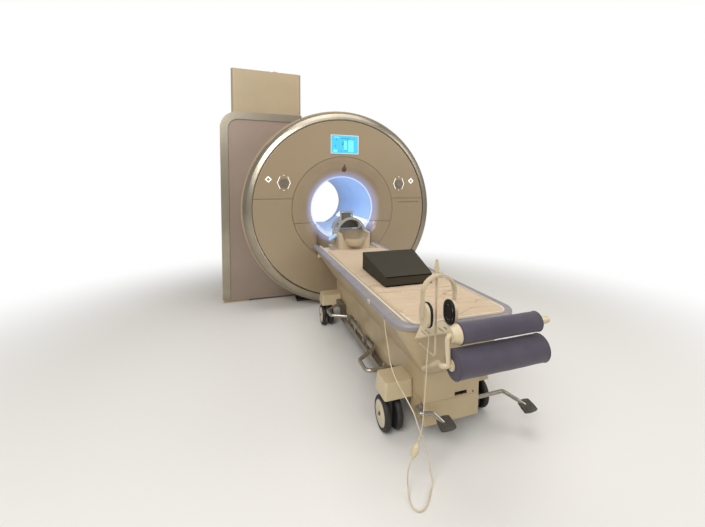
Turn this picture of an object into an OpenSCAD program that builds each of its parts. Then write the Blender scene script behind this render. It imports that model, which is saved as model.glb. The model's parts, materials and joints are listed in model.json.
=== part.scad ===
// Magnetic resonance scanner: a round magnet housing with a patient bore, a service wing with a
// ceiling duct, and a patient table on castors that stands docked and lowered in front of it.
// Origin: on the floor under the bore axis, in the plane of the front face. +Y runs into the bore,
// +X is to the right seen from the front, +Z is up.

/* [Housing] */
// Height of the bore axis above the floor
axis_z = 1085; // [1080:1:1095]
// Radius of the patient bore
bore_r = 350; // [345:1:352]
// Outer radius of the front face panels
face_r = 969; // [960:1:975]
// Outer radius of the bright ring round the face
ring_r = 1063; // [1055:1:1068]
// Outer radius of the drum behind the ring
drum_r = 1078; // [1074:1:1080]
// Depth of the housing from the front face to the rear cover
housing_d = 1730; // [1725:1:1740]
// Radius of the seam between the face and the funnel
funnel_r = 571; // [568:1:574]
// Depth of the funnel from the face to the bore
funnel_d = 100; // [98:1:102]
// Height of the seam between the upper and lower face panels
seam_z = 1198; // [1190:1:1205]

/* [Service wing and duct] */
// Left edge of the wing, measured from the bore axis
wing_x = -1285; // [-1295:1:-1275]
// Front plane of the wing
wing_y = 459; // [455:1:465]
// Height of the wing
wing_h = 2150; // [2145:1:2155]
// Width of the bright trim along the wing's edge
trim_w = 82; // [76:1:88]
// Height of the top of the ceiling duct
duct_top = 2660; // [2600:5:2700]

/* [Patient table] */
// Height of the top of the bumper rails
rail_top = 702; // [700:1:706]
// Half the width of the table over its rails
rail_x = 360; // [356:1:362]
// Foot end of the table's rails
foot_y = -2310; // [-2315:1:-2305]
// Head end of the table's rails
head_y = -20; // [-24:1:-18]
// Half the width of the sliding tabletop
top_x = 300; // [298:1:302]
// Distance of a foot castor's swivel axis from the table's middle
castor_x = 283; // [282:1:285]
// Radius of a castor's wheels
wheel_r = 95; // [93:1:95]
// Height of the top of the mattress
pad_top = 715; // [712:1:720]

/* [Hidden] */
$fn = 96;

// running clearance of a pin in its bore, and the gap between fixed pieces
run_gap = 0.06;
fit_gap = 0.2;
panel_gap = 4;

// magnet
vessel_r = 930;
vessel_bore = 450;
vessel_y = [170, 1590];
vessel_wall = 12;
cold_r = [520, 800];
cold_y = [260, 1500];
foot_x = 400;
foot_pitch = [350, 1380];
anchor_r = 9;
plate_t = 20;

// front covers
face_t = 14;
cover_t = 8;
lip_y = funnel_d + 8;
lip_w = 8;
funnel_seam_z = 935;
dock_x = 312;
dock_z = 600;
housing_floor = 30;
drum_y = [90, 1640];
drum_seam_x = 465;
liner_t = 6;
bed_y = [112, 1400];

// face fittings
screen_w = 300;
screen_h = 190;
screen_z = 1790;
dial_x = 653;
dial_z = 1367;
dial_r = 43;
diamond_x = 808;
diamond_z = 1400;
drop_z = 1535;

// wing and duct
wing_right = -400;
wing_depth = 690;
wing_corner = 190;
duct_x = [-1172, -388];
duct_y = [600, 1120];
turret_x = -700;
turret_y = 760;
pipe_r = 80;

// table
// swivel axes of the foot pair and of the head pair, in X and Y
castor_at = [[castor_x, -1983], [castor_x + 19, -433]];
trail = 25;
base_x = 170;
hood_in = base_x + 0.3;
base_y = [-2217, -330];
base_z = [117, 500];
seam_low = 238;
sheet_t = 5;
bar_x = 250;
bar_z = 290;
bar_r = 12;
lug_y = [-1535, -1140];
lug_w = 40;
column_y = [-1700, -800];
column_r = [60, 50, 40];
deck_z = 610;
body_low = 410;
tray_corner = 62;
pedal_y = -2190;
pedal_z = [215, 190];
pedal_r = 11;
rail_low = 678.2;
rail_w = 46;
// each roll: its axis in Y and Z, its radius; then its two ends in X
upper_roll = [-2555, 760, 46];
lower_roll = [-2568, 640, 64];
upper_x = [-205, 212];
lower_x = [-238, 228];
pole_x = -232;
pole_y = -2420;
cup_x = [pole_x - 73.5, pole_x + 73.5];
yoke_x = 80;
hook_z = 974.95;
cup_pin = 3;
cup_z = 810;
coil_y = [-420, -85];
lid_y = [-270, -20];
hose_d = 6;
call_d = 5;

// turns the profile's height into depth along the bore axis
module about_bore() translate([0, 0, axis_z]) rotate([-90, 0, 0]) children();

// ring of a rectangular section round the bore axis
module tube_y(r1, r2, y1, y2) about_bore() rotate_extrude($fn = 180)
    translate([r1, y1]) square([r2 - r1, y2 - y1]);

// round bar between two points
module rod(a, b, r) {
    d = b - a;
    len = norm(d);
    translate(a) rotate([0, acos(d[2] / len), atan2(d[1], d[0])]) cylinder(r = r, h = len, $fn = 32);
}

// points along a bent bar, each corner rounded on the radius turn
function unit(v) = v / norm(v);
function corner_angle(p, i) = acos(unit(p[i] - p[i - 1]) * unit(p[i + 1] - p[i]));
function corner_arc(p, i, turn) = let (u = unit(p[i] - p[i - 1]), v = unit(p[i + 1] - p[i]),
    inward = unit(v - u * (u * v)), a = corner_angle(p, i), steps = max(2, ceil(a / 15)),
    hub = p[i] - u * turn * tan(a / 2) + inward * turn)
    [for (k = [0 : steps]) hub + turn * (u * sin(a * k / steps) - inward * cos(a * k / steps))];
function bend_path(p, turn) = concat([p[0]], [for (i = [1 : len(p) - 2]) each corner_arc(p, i, turn)], [p[len(p) - 1]]);

// round section swept along points; each ring's frame is carried on from the one before
function tangent(p, i) = unit(p[min(i + 1, len(p) - 1)] - p[max(i - 1, 0)]);
function across(t, u) = unit(u - t * (u * t));
function carried(p, i, u) = i >= len(p) ? [] : let (w = across(tangent(p, i), u)) concat([w], carried(p, i + 1, w));
module sweep(p, r, n) {
    first = tangent(p, 0);
    us = carried(p, 0, abs(first[1]) > 0.7 ? [1, 0, 0] : [0, 1, 0]);
    rings = [for (i = [0 : len(p) - 1], k = [0 : n - 1])
        p[i] + r * (us[i] * cos(360 * k / n) + cross(tangent(p, i), us[i]) * sin(360 * k / n))];
    last = (len(p) - 1) * n;
    sides = [for (i = [0 : len(p) - 2], k = [0 : n - 1]) let (a = i * n + k, b = i * n + (k + 1) % n)
        [a, a + n, b + n, b]];
    polyhedron(rings, concat([[for (k = [0 : n - 1]) k]], sides, [[for (k = [n - 1 : -1 : 0]) last + k]]));
}
module bent_bar(p, r, turn, n = 16) sweep(bend_path(p, turn), r, n);

// cylinder along X
module cyl_x(x1, x2, r, n = 48) translate([x1, 0, 0]) rotate([0, 90, 0]) cylinder(r = r, h = x2 - x1, $fn = n);

// box given by its low and high corners
module block(a, b) translate(a) cube(b - a);

// rectangle with round corners, low corner to high corner
module round_rect(a, b, r, n = 48) {
    translate([a[0] + r, a[1]]) square([b[0] - a[0] - 2 * r, b[1] - a[1]]);
    translate([a[0], a[1] + r]) square([b[0] - a[0], b[1] - a[1] - 2 * r]);
    for (x = [a[0] + r, b[0] - r], y = [a[1] + r, b[1] - r]) translate([x, y]) circle(r = r, $fn = n);
}

// stands an X-Z outline up, from y1 to y2
module upright(y1, y2) translate([0, y2, 0]) rotate([90, 0, 0]) linear_extrude(y2 - y1) children();

// lays a X-Y outline flat, from z1 to z2
module flat(z1, z2) translate([0, 0, z1]) linear_extrude(z2 - z1) children();

// magnet feet: two saddles on four anchor plates
module magnet_feet() color("dimgray") difference() {
    union() for (y = foot_pitch) {
        for (s = [-1, 1]) block([s * foot_x - 90, y - 80, 0], [s * foot_x + 90, y + 80, plate_t]);
        for (s = [-1, 1]) block([s * foot_x - 50, y - 50, plate_t], [s * foot_x + 50, y + 50, 320]);
        block([-foot_x, y - 30, 110], [foot_x, y + 30, 260]);
    }
    about_bore() translate([0, 0, 200]) cylinder(r = vessel_r + fit_gap, h = 1400, $fn = 180);
    for (s = [-1, 1], y = foot_pitch) translate([s * (foot_x + 70), y, -1]) cylinder(r = anchor_r, h = plate_t + 2);
}

// cryostat: the steel vacuum vessel, closed, with a domed rim at each end
module vacuum_vessel() color("lightgray") about_bore() rotate_extrude($fn = 180) difference() {
    polygon([[vessel_bore, vessel_y[0]], [vessel_r - 40, vessel_y[0]], [vessel_r, vessel_y[0] + 40],
        [vessel_r, vessel_y[1] - 40], [vessel_r - 40, vessel_y[1]], [vessel_bore, vessel_y[1]]]);
    translate([vessel_bore + vessel_wall, vessel_y[0] + vessel_wall])
        square([vessel_r - vessel_bore - 2 * vessel_wall - 30, vessel_y[1] - vessel_y[0] - 2 * vessel_wall]);
}

// helium vessel with the superconducting windings, on its suspension posts
module cold_mass() color("silver") {
    about_bore() rotate_extrude($fn = 120) difference() {
        translate([cold_r[0], cold_y[0]]) square([cold_r[1] - cold_r[0], cold_y[1] - cold_y[0]]);
        for (y = [370 : 230 : 1300]) translate([cold_r[1] - 60, y]) square([61, 90]);
    }
    for (a = [45 : 90 : 315], y = [330, 1440]) translate([0, y, axis_z]) rotate([0, a, 0])
        translate([cold_r[1] - 20, 0, 0]) rotate([0, 90, 0]) cylinder(r = 22, h = 86, $fn = 32);
}

// gradient coil: a moulded tube with cooling and shim holes in its ends
module gradient_coil() color("darkkhaki") about_bore() difference() {
    rotate_extrude($fn = 180) translate([382, 200]) square([vessel_bore - fit_gap - 382, 1350]);
    for (a = [0 : 30 : 330]) rotate(a + 15) translate([416, 0, 199]) cylinder(r = 14, h = 260, $fn = 24);
}

// tube that lines the bore; the transmitting coil is wound on its middle
module bore_liner() color("wheat") about_bore() rotate_extrude($fn = 180) polygon([[bore_r, lip_y],
    [bore_r + liner_t, lip_y], [bore_r + liner_t, 420], [380, 440], [380, 1270], [bore_r + liner_t, 1290],
    [bore_r + liner_t, 1625], [bore_r, 1625]]);

// light-guide ring at the mouth of the bore
module light_ring() color("lightskyblue") tube_y(bore_r, bore_r + lip_w - fit_gap, funnel_d - 2, lip_y - fit_gap);

// support in the bore that the tabletop runs on, with its raised sides
module bore_bed() color("beige") difference() {
    upright(bed_y[0], bed_y[1]) difference() {
        intersection() {
            translate([0, axis_z]) circle(r = bore_r - 0.3, $fn = 180);
            translate([-400, 700]) square([800, 262]);
        }
        polygon([[-420, 1000], [-342, 958], [-304, 930], [-226, 858], [-150, 800], [-110, 784], [110, 784],
            [150, 800], [226, 858], [304, 930], [342, 958], [420, 1000]]);
    }
    block([-172, 0, 600], [172, 300, 1000]);
}

// bell-shaped section of the funnel; lift moves its front surface forward
function bell(t, lift = 0) = [funnel_r - lift * 0.2 - (funnel_r - bore_r - lip_w) * sin(t), funnel_d * (1 - cos(t)) - lift];
module funnel_section(thick, lift = 0) rotate_extrude($fn = 180) polygon(concat(
    [for (t = [0 : 10 : 90]) bell(t, lift)],
    [for (t = [90 : -10 : 0]) bell(t) + [0, thick]]));

// outline of the alignment-light window, a rounded drop
module drop_outline(r) {
    translate([0, drop_z - 18]) circle(r = r, $fn = 48);
    polygon([[-r * 0.92, drop_z - 18 + r * 0.4], [r * 0.92, drop_z - 18 + r * 0.4], [0, drop_z + 44 * r / 26]]);
}

module funnel_upper() color("tan") difference() {
    about_bore() funnel_section(cover_t);
    block([-700, -50, 0], [700, 200, funnel_seam_z + panel_gap / 2]);
    upright(-20, 120) drop_outline(26.5);
}

// lower funnel with the recess that takes the nose of the docked tabletop
module funnel_lower() color("tan") difference() {
    union() {
        difference() {
            about_bore() funnel_section(cover_t);
            block([-dock_x, -50, dock_z], [dock_x, 200, 1300]);
        }
        difference() {
            block([-dock_x - 6, 1, dock_z - 6], [dock_x + 6, lip_y, funnel_seam_z]);
            block([-dock_x, -1, dock_z], [dock_x, funnel_d, 1000]);
            about_bore() translate([0, 0, -10]) cylinder(r = bore_r + lip_w + fit_gap, h = 300, $fn = 180);
        }
    }
    block([-700, -50, funnel_seam_z - panel_gap / 2], [700, 200, 1900]);
    difference() {
        block([-700, -50, 0], [700, 200, 1300]);
        about_bore() translate([0, 0, -60]) cylinder(r = funnel_r, h = 300, $fn = 180);
    }
}

// flat annular face with a softly rounded outer edge
module face_disc() about_bore() rotate_extrude($fn = 180) polygon(concat([[funnel_r + panel_gap, 0]],
    [for (t = [90 : -15 : 0]) [face_r - 10 + 10 * cos(t), 10 - 10 * sin(t)]],
    [[face_r, face_t], [funnel_r + panel_gap, face_t]]));

module shaft_holes() for (s = [-1, 1]) translate([s * dial_x, 0, dial_z]) rotate([-90, 0, 0])
    translate([0, 0, -20]) cylinder(r = 10, h = 60, $fn = 32);

module face_upper() color("tan") difference() {
    face_disc();
    block([-1200, -50, 0], [1200, 100, seam_z + panel_gap / 2]);
    block([-screen_w / 2 - 9, -10, screen_z - screen_h / 2 - 9],
        [screen_w / 2 + 9, 60, screen_z + screen_h / 2 + 9]);
    shaft_holes();
}

// lower face with the recessed grip on its right side
module face_lower() color("tan") difference() {
    face_disc();
    block([-1200, -50, seam_z - panel_gap / 2], [1200, 100, 2300]);
    block([-1200, -50, 0], [1200, 100, housing_floor]);
    block([645, -5, 1147], [907, 8, 1158]);
}

// bright ring that frames the face
module face_ring() color("silver") difference() {
    about_bore() rotate_extrude($fn = 180) polygon(concat([[face_r + 3, -4], [face_r + 12, -8]],
        [for (t = [75 : -15 : 0]) [ring_r - 82 + 82 * cos(t), 78 - 82 * sin(t)]],
        [[ring_r, drum_y[0] - fit_gap], [face_r + 3, drum_y[0] - fit_gap]]));
    block([-1200, -50, 0], [1200, 200, 24]);
}

// drum covers: a top panel and two side panels, with notches for the feet and the turret
module drum_covers() color("antiquewhite") difference() {
    union() {
        tube_y(drum_r - 10, drum_r, drum_y[0], drum_y[1]);
        tube_y(drum_r - 40, drum_r - 8, drum_y[0], drum_y[0] + 10);
    }
    block([-1200, 0, -10], [1200, 2000, housing_floor]);
    for (s = [-1, 1]) block([s * drum_seam_x - panel_gap / 2, 0, axis_z], [s * drum_seam_x + panel_gap / 2, 2000, 2300]);
    for (s = [-1, 1], y = foot_pitch) block([s * foot_x - 96, y - 86, -10], [s * foot_x + 96, y + 86, 400]);
    block([turret_x - 170, turret_y - 170, axis_z], [turret_x + 170, turret_y + 370, 2300]);
}

// rear cover with the flared rear end of the bore
module rear_cover() color("antiquewhite") difference() {
    about_bore() rotate_extrude($fn = 180) polygon(concat([[bore_r, 1625.3], [bore_r + 10, 1625.3], [bore_r + 10, 1640]],
        [for (t = [0 : 15 : 90]) [bore_r + 10 + 70 * (1 - cos(t)), 1640 + 78 * sin(t)]],
        [for (t = [90 : -15 : 0]) [drum_r - 92 + 80 * cos(t), 1640.3 + 78 * sin(t)]],
        [for (t = [0 : 15 : 90]) [drum_r - 80 + 80 * cos(t), 1640.3 + 89.7 * sin(t)]],
        [for (t = [90 : -15 : 0]) [bore_r + 78 - 78 * cos(t), housing_d - 90 + 90 * sin(t)]]));
    block([-1200, 1600, -10], [1200, 2000, housing_floor]);
}

// outline of the wing: a tall panel with one large round corner, cut by the drum
module wing_outline(inset, gap) difference() {
    union() {
        translate([wing_x + inset, 20]) square([wing_right - wing_x - inset, wing_h - 20 - wing_corner]);
        translate([wing_x + wing_corner, 20]) square([wing_right - wing_x - wing_corner, wing_h - 20 - inset]);
        translate([wing_x + wing_corner, wing_h - wing_corner]) circle(r = wing_corner - inset, $fn = 96);
    }
    translate([0, axis_z]) circle(r = drum_r + gap, $fn = 180);
}

// coloured front panel of the wing, a little behind its bright trim
module wing_panel() color("rosybrown") upright(wing_y + 10, wing_y + 18) wing_outline(trim_w + 1, 3);

module wing_trim() color("silver") difference() {
    upright(wing_y, wing_y + 60) wing_outline(0, 3);
    upright(wing_y - 1, wing_y + 61) wing_outline(trim_w, 2);
    block([wing_x - 1, wing_y - 1, 0], [wing_right, wing_y + 61, 40]);
}

// sheet housing behind the wing's panel, open to the drum, with the plinth it stands on
module wing_housing() color("antiquewhite") difference() {
    union() {
        upright(wing_y + 61, wing_y + wing_depth) wing_outline(6, 3);
        block([wing_x + 14, wing_y + 20, 0], [-1010, wing_y + wing_depth - 20, 39.8]);
    }
    difference() {
        upright(wing_y + 67, wing_y + wing_depth - 6) wing_outline(12, 2);
        block([-1500, 0, 0], [0, 2000, 80]);
    }
    translate([turret_x, turret_y, 2000]) cylinder(r = pipe_r + 8, h = 300);
}

// boxed duct from the wing's top to the ceiling
module duct_cover() color("antiquewhite") difference() {
    flat(wing_h + fit_gap, duct_top) round_rect([duct_x[0], duct_y[0]], [duct_x[1], duct_y[1]], 40);
    flat(wing_h - 5, duct_top - 6) round_rect([duct_x[0] + 6, duct_y[0] + 6], [duct_x[1] - 6, duct_y[1] - 6], 34);
    translate([turret_x, turret_y, duct_top - 20]) cylinder(r = pipe_r + 32, h = 60);
}

// helium vent: turret on the vessel, riser and the flange at the top
module vent_pipe() color("lightgray") difference() {
    union() {
        difference() {
            translate([turret_x, turret_y, 1600]) cylinder(r = 140, h = 390);
            about_bore() cylinder(r = vessel_r + fit_gap, h = 1700, $fn = 180);
        }
        translate([turret_x, turret_y, 1990]) cylinder(r1 = 140, r2 = pipe_r, h = 60);
        translate([turret_x, turret_y, 2040]) cylinder(r = pipe_r, h = duct_top + 20 - 2040);
        translate([turret_x, turret_y, duct_top + 8]) cylinder(r = 110, h = 12);
    }
    translate([turret_x, turret_y, 1900]) cylinder(r = pipe_r - 4, h = 900);
    for (a = [45 : 90 : 315]) translate([turret_x + 95 * cos(a), turret_y + 95 * sin(a), duct_top]) cylinder(r = 6, h = 40, $fn = 24);
}

// refrigerator head beside the turret: flange, cylinder, motor housing
module cold_head() color("darkgray") difference() {
    translate([turret_x, turret_y + 240, 0]) {
        translate([0, 0, 1600]) cylinder(r = 62, h = 190);
        translate([0, 0, 1790]) cylinder(r = 85, h = 14);
        translate([0, 0, 1804]) cylinder(r = 52, h = 96);
        translate([0, 0, 1900]) cylinder(r = 66, h = 70);
        translate([0, 0, 1935]) rotate([90, 0, 0]) translate([0, 0, -95]) cylinder(r = 26, h = 95);
    }
    about_bore() cylinder(r = vessel_r + fit_gap, h = 1700, $fn = 180);
}

// display: a raised frame round a glass panel
module display_bezel() color("whitesmoke") upright(-4, 13) difference() {
    translate([0, screen_z]) round_rect([-screen_w / 2 - 8.5, -screen_h / 2 - 8.5], [screen_w / 2 + 8.5, screen_h / 2 + 8.5], 8);
    translate([0, screen_z]) square([screen_w, screen_h], center = true);
}
module display_screen() color("deepskyblue") upright(-1, 12) translate([0, screen_z])
    square([screen_w - 0.4, screen_h - 0.4], center = true);

// alignment-light window, flush with the funnel
module laser_window() color("saddlebrown") intersection() {
    about_bore() funnel_section(cover_t, 2);
    upright(-20, 120) drop_outline(26);
}

// lit marks: a diamond and four bracket strokes at each dial
module stroke(a, b) {
    d = b - a;
    translate(a) rotate(atan2(d[1], d[0])) translate([-2, -2]) square([norm(d) + 4, 4]);
}
module control_lights() color("white") for (s = [-1, 1]) upright(-2.5, -0.1) {
    translate([s * diamond_x, diamond_z]) difference() {
        rotate(45) square(46, center = true);
        rotate(45) square(30, center = true);
    }
    for (m = [-1, 1]) translate([s * dial_x, dial_z]) {
        stroke([m * 66, 0], [m * 50, 38]);
        stroke([m * 66, 0], [m * 50, -38]);
        stroke([m * 50, 38], [m * 40, 62]);
        stroke([m * 50, -38], [m * 40, -62]);
        translate([0, m * 78]) square([12, 4], center = true);
    }
}

// jog dial: a ribbed knob on a shaft
module dial(s) color("slategray") translate([s * dial_x, 0, dial_z]) rotate([90, 0, 0]) {
    difference() {
        translate([0, 0, 2]) cylinder(r = dial_r, h = 20, $fn = 64);
        for (a = [0 : 20 : 340]) rotate(a) translate([dial_r + 2, 0, -1]) cylinder(r = 4, h = 30, $fn = 16);
        translate([0, 0, 19]) cylinder(r = dial_r - 14, h = 5, $fn = 64);
    }
    translate([0, 0, -18]) cylinder(r = 10 - run_gap, h = 20.5, $fn = 32);
}
module dial_left() dial(-1);
module dial_right() dial(1);

// table chassis: low side beams, raised arms with castor sockets, cross members, outer columns
module castor_sites() for (s = [-1, 1], c = castor_at) translate([s * c[0], c[1], 0]) children();
module chassis() color("tan") difference() {
    union() {
        for (s = [-1, 1]) mirror([s < 0 ? 1 : 0, 0, 0]) {
            block([178, -1860, 120], [218, -660, 178]);
            for (y = [-1860, -700]) block([178, y, 120], [218, y + 40, 250]);
            block([178, castor_at[0][1] - 40, 208], [218, -1840, 250]);
            block([178, -680, 208], [218, castor_at[1][1] + 40, 250]);
            for (c = castor_at) block([178, c[1] - 40, 208], [c[0] + 36, c[1] + 40, 250]);
            block([116, -2150, 208], [144, castor_at[0][1], 250]);
            for (y = lug_y) {
                block([200, y, 150], [216, y + lug_w, bar_z - 24]);
                block([200, y, bar_z - 40], [bar_x, y + lug_w, bar_z - 24]);
                translate([bar_x, y + lug_w, bar_z]) rotate([90, 0, 0]) cylinder(r = 26, h = lug_w, $fn = 48);
            }
        }
        for (c = castor_at) block([-218, c[1] - 20, 208], [218, c[1] + 20, 250]);
        for (y = column_y) block([-218, y - 35, 120], [218, y + 35, 178]);
        block([-150, -2150, 208], [150, -2120, 250]);
        for (x = [-110, -50, 60, 125]) block([x, -2208, 168], [x + 14, -2119, 240]);
        for (y = column_y) translate([0, y, 170]) cylinder(r = column_r[0], h = 310);
        block([-20, -380, 150], [20, -200, 200]);
        block([-20, -420, 150], [20, -380, 250]);
        block([-45, -230, 140], [45, -200, 215]);
    }
    for (y = column_y) translate([0, y, 178]) cylinder(r = column_r[1] + 0.4, h = 400);
    castor_sites() translate([0, 0, 190]) cylinder(r = 12, h = 100, $fn = 32);
    for (s = [-1, 1], y = lug_y) translate([s * bar_x, y + lug_w + 5, bar_z]) rotate([90, 0, 0])
        cylinder(r = bar_r, h = lug_w + 10, $fn = 32);
    translate([0, pedal_y, pedal_z[0]]) cyl_x(-160, -20, pedal_r, 32);
    translate([0, pedal_y, pedal_z[1]]) cyl_x(40, 180, pedal_r, 32);
}

// cover of the table's base: a tall skirt with wheel arches, a seam, a grip slot and pedal openings
module base_cover() color("antiquewhite") difference() {
    flat(base_z[0], base_z[1]) round_rect([-base_x, base_y[0]], [base_x, base_y[1]], 14);
    flat(base_z[0] - 5, base_z[1] + 5) round_rect([-base_x + sheet_t, base_y[0] + sheet_t],
        [base_x - sheet_t, base_y[1] - sheet_t], 9);
    flat(seam_low, seam_low + 3) difference() {
        round_rect([-base_x - 5, base_y[0] - 5], [base_x + 5, base_y[1] + 5], 14);
        round_rect([-base_x + 1.5, base_y[0] + 1.5], [base_x - 1.5, base_y[1] - 1.5], 12.5);
    }
    castor_sites() translate([0, 0, 90]) cylinder(r = 136, h = 112);
    for (c = castor_at) block([-200, c[1] - 44, 100], [200, c[1] + 44, 253]);
    for (y = column_y) block([-200, y - 38, 100], [200, y + 38, 181]);
    block([11, base_y[0] - 5, 246], [88, base_y[0] + 20, 268]);
    for (i = [0, 1]) block([(2 * i - 1) * base_x - 10, -2205, 100],
        [(2 * i - 1) * base_x + 10, -2174, pedal_z[i] + pedal_r + 3]);
    block([-30, base_y[1] - 20, 100], [30, base_y[1] + 20, 253]);
}

// hood over each castor: a low, slightly tapered shell beside the base, open below
module hood_form(c, inset, top) hull() {
    flat(207 - inset / 5, 211) round_rect([hood_in + inset, c[1] - 102 + inset], [c[0] + 55 - inset, c[1] + 58 - inset], 12, 20);
    flat(top - 6, top) round_rect([hood_in + inset, c[1] - 94 + inset], [c[0] + 46 - inset, c[1] + 50 - inset], 12, 20);
}
module castor_covers() color("antiquewhite") for (s = [-1, 1], e = [0, 1]) {
    c = castor_at[e];
    beam_y = c[1] + [40, -110][e];
    mirror([s > 0 ? 0 : 1, 0, 0]) difference() {
        hood_form(c, 0, 303);
        hood_form(c, 5, 298);
        block([hood_in - 1, c[1] - 44, 195], [hood_in + 10, c[1] + 44, 253]);
        block([174, beam_y, 195], [222, beam_y + 30, 253]);
    }
}

// castor fork: swivel stem, crown and the leg between the twin wheels, with the axle
module fork(x, y) color("dimgray") translate([x, y, 0]) {
    translate([0, 0, 195]) cylinder(r = 12 - run_gap, h = 53, $fn = 32);
    translate([0, 0, 194]) cylinder(r = 32, h = 12, $fn = 48);
    block([-12, -trail - 26, 70], [12, 26, 195]);
    translate([0, -trail, wheel_r]) cyl_x(-60, 60, 9 - run_gap, 32);
}
module fork_foot_left() fork(-castor_at[0][0], castor_at[0][1]);
module fork_foot_right() fork(castor_at[0][0], castor_at[0][1]);
module fork_head_left() fork(-castor_at[1][0], castor_at[1][1]);
module fork_head_right() fork(castor_at[1][0], castor_at[1][1]);

// twin wheels with round treads and dished hubs
module wheels(x, y) color("black") translate([x, y - trail, wheel_r]) for (s = [-1, 1]) rotate([0, s * 90, 0])
    translate([0, 0, 17]) rotate_extrude($fn = 72) polygon([[9, 0], [wheel_r - 9, 0], [wheel_r - 3, 5], [wheel_r, 13],
        [wheel_r, 23], [wheel_r - 3, 31], [wheel_r - 9, 36], [74, 36], [70, 32], [30, 34], [20, 37], [9, 37]]);
module wheels_foot_left() wheels(-castor_at[0][0], castor_at[0][1]);
module wheels_foot_right() wheels(castor_at[0][0], castor_at[0][1]);
module wheels_head_left() wheels(-castor_at[1][0], castor_at[1][1]);
module wheels_head_right() wheels(castor_at[1][0], castor_at[1][1]);

// brake and steering bar along one side, with a loop near each castor
module side_bar(s) color("ivory") bent_bar([[s * bar_x, -1858, bar_z], [s * bar_x, -1903, bar_z], [s * 381, -1903, bar_z],
    [s * 381, -1765, bar_z], [s * bar_x, -1655, bar_z], [s * bar_x, -1072, bar_z], [s * 384, -1000, bar_z],
    [s * 384, -880, bar_z], [s * 262, -765, bar_z], [s * 236, -752, bar_z]], bar_r - run_gap, 34);
module side_bar_left() side_bar(-1);
module side_bar_right() side_bar(1);

// foot pedals: a bent bar that turns in its lugs, and a treaded pad
module pad_plate(x, y, z) translate([x, y, z]) rotate([18, 0, 0]) difference() {
    flat(-7, 7) round_rect([-38, -30], [38, 34], 14);
    for (i = [-2 : 2]) block([-28, i * 10 - 2, 5], [28, i * 10 + 2, 9]);
}
module pedal_left() color("silver") {
    bent_bar([[-30, pedal_y, pedal_z[0]], [-208, pedal_y, pedal_z[0]], [-208, -2246, 217], [-142, -2258, 213],
        [-98, -2286, 170]], pedal_r - run_gap, 18);
    pad_plate(-86, -2292, 166);
}
module pedal_right() color("silver") {
    bent_bar([[50, pedal_y, pedal_z[1]], [352, pedal_y, pedal_z[1]], [396, -2252, 168], [430, -2282, 146]],
        pedal_r - run_gap, 24);
    pad_plate(439, -2290, 142);
}

// middle stage of the telescopic lift: sleeve, bridge plate and middle columns
module telescopic_cover() color("gainsboro") difference() {
    union() {
        difference() {
            flat(222, 540) round_rect([-163, base_y[0] + 8], [163, base_y[1] - 8], 8);
            flat(200, 528) round_rect([-159, base_y[0] + 12], [159, base_y[1] - 12], 6);
            castor_sites() translate([0, 0, 90]) cylinder(r = 150, h = 190);
            block([-200, -2222, 100], [200, -2075, 300]);
            block([-200, -465, 100], [200, -325, 300]);
            for (c = castor_at) block([-200, c[1] - 50, 100], [200, c[1] + 50, 300]);
            for (y = column_y) block([-200, y - 42, 100], [200, y + 42, 225]);
        }
        for (y = column_y) translate([0, y, 222]) cylinder(r = column_r[1], h = 318);
    }
    for (y = column_y) translate([0, y, 200]) cylinder(r = column_r[2] + 0.4, h = 400);
}

// inner columns, fixed under the table's deck
module lift_columns() color("silver") for (y = column_y) {
    translate([0, y, 282]) cylinder(r = column_r[2], h = 308);
    translate([0, y, 588]) cylinder(r = 70, h = 9.8);
}

// flared body under the rails: deck, guide rails and skirt
module body_form(inset) hull() {
    flat(655, 678) round_rect([-338 + inset, foot_y + 24 + inset], [338 - inset, head_y - 10 - inset], 90);
    flat(body_low, body_low + 4) round_rect([-183 + inset, base_y[0] - 12 + inset], [183 - inset, base_y[1] + 16 - inset], 24);
}
module table_body() color("antiquewhite") {
    difference() {
        body_form(0);
        intersection() {
            translate([0, 0, -0.5]) body_form(6);
            block([-400, -2500, 300], [400, 100, deck_z - 12]);
        }
        block([-172, base_y[0] - 7, body_low - 10], [172, base_y[1] + 7, body_low + 60]);
        flat(deck_z, 646) round_rect([-290, foot_y + 46], [290, 200], tray_corner + 4);
        flat(645, 700) round_rect([-306, foot_y + 46], [306, 200], tray_corner + 4);
    }
    for (s = [-1, 1]) block([s * 243 - 9, -2230, deck_z], [s * 243 + 9, -60, 636]);
}

// padded bumper rails: two sides and the rounded foot end
module rail_section() {
    translate([-rail_w, rail_low]) square([rail_w - 12, rail_top - rail_low]);
    translate([-rail_w, rail_low]) square([rail_w, rail_top - rail_low - 12]);
    translate([-12, rail_top - 12]) circle(r = 12, $fn = 48);
}
module side_rails() color("lightsteelblue") {
    corner = 120;
    for (s = [0, 1]) mirror([s, 0, 0]) {
        translate([rail_x, head_y, 0]) rotate([90, 0, 0]) linear_extrude(head_y - foot_y - corner) rail_section();
        translate([rail_x - corner, foot_y + corner, 0]) rotate(-90) rotate_extrude(angle = 90, $fn = 96)
            translate([corner, 0]) rail_section();
    }
    translate([-rail_x + corner, foot_y, 0]) rotate([90, 0, 90]) linear_extrude(2 * (rail_x - corner))
        mirror([1, 0]) rail_section();
}

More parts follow.
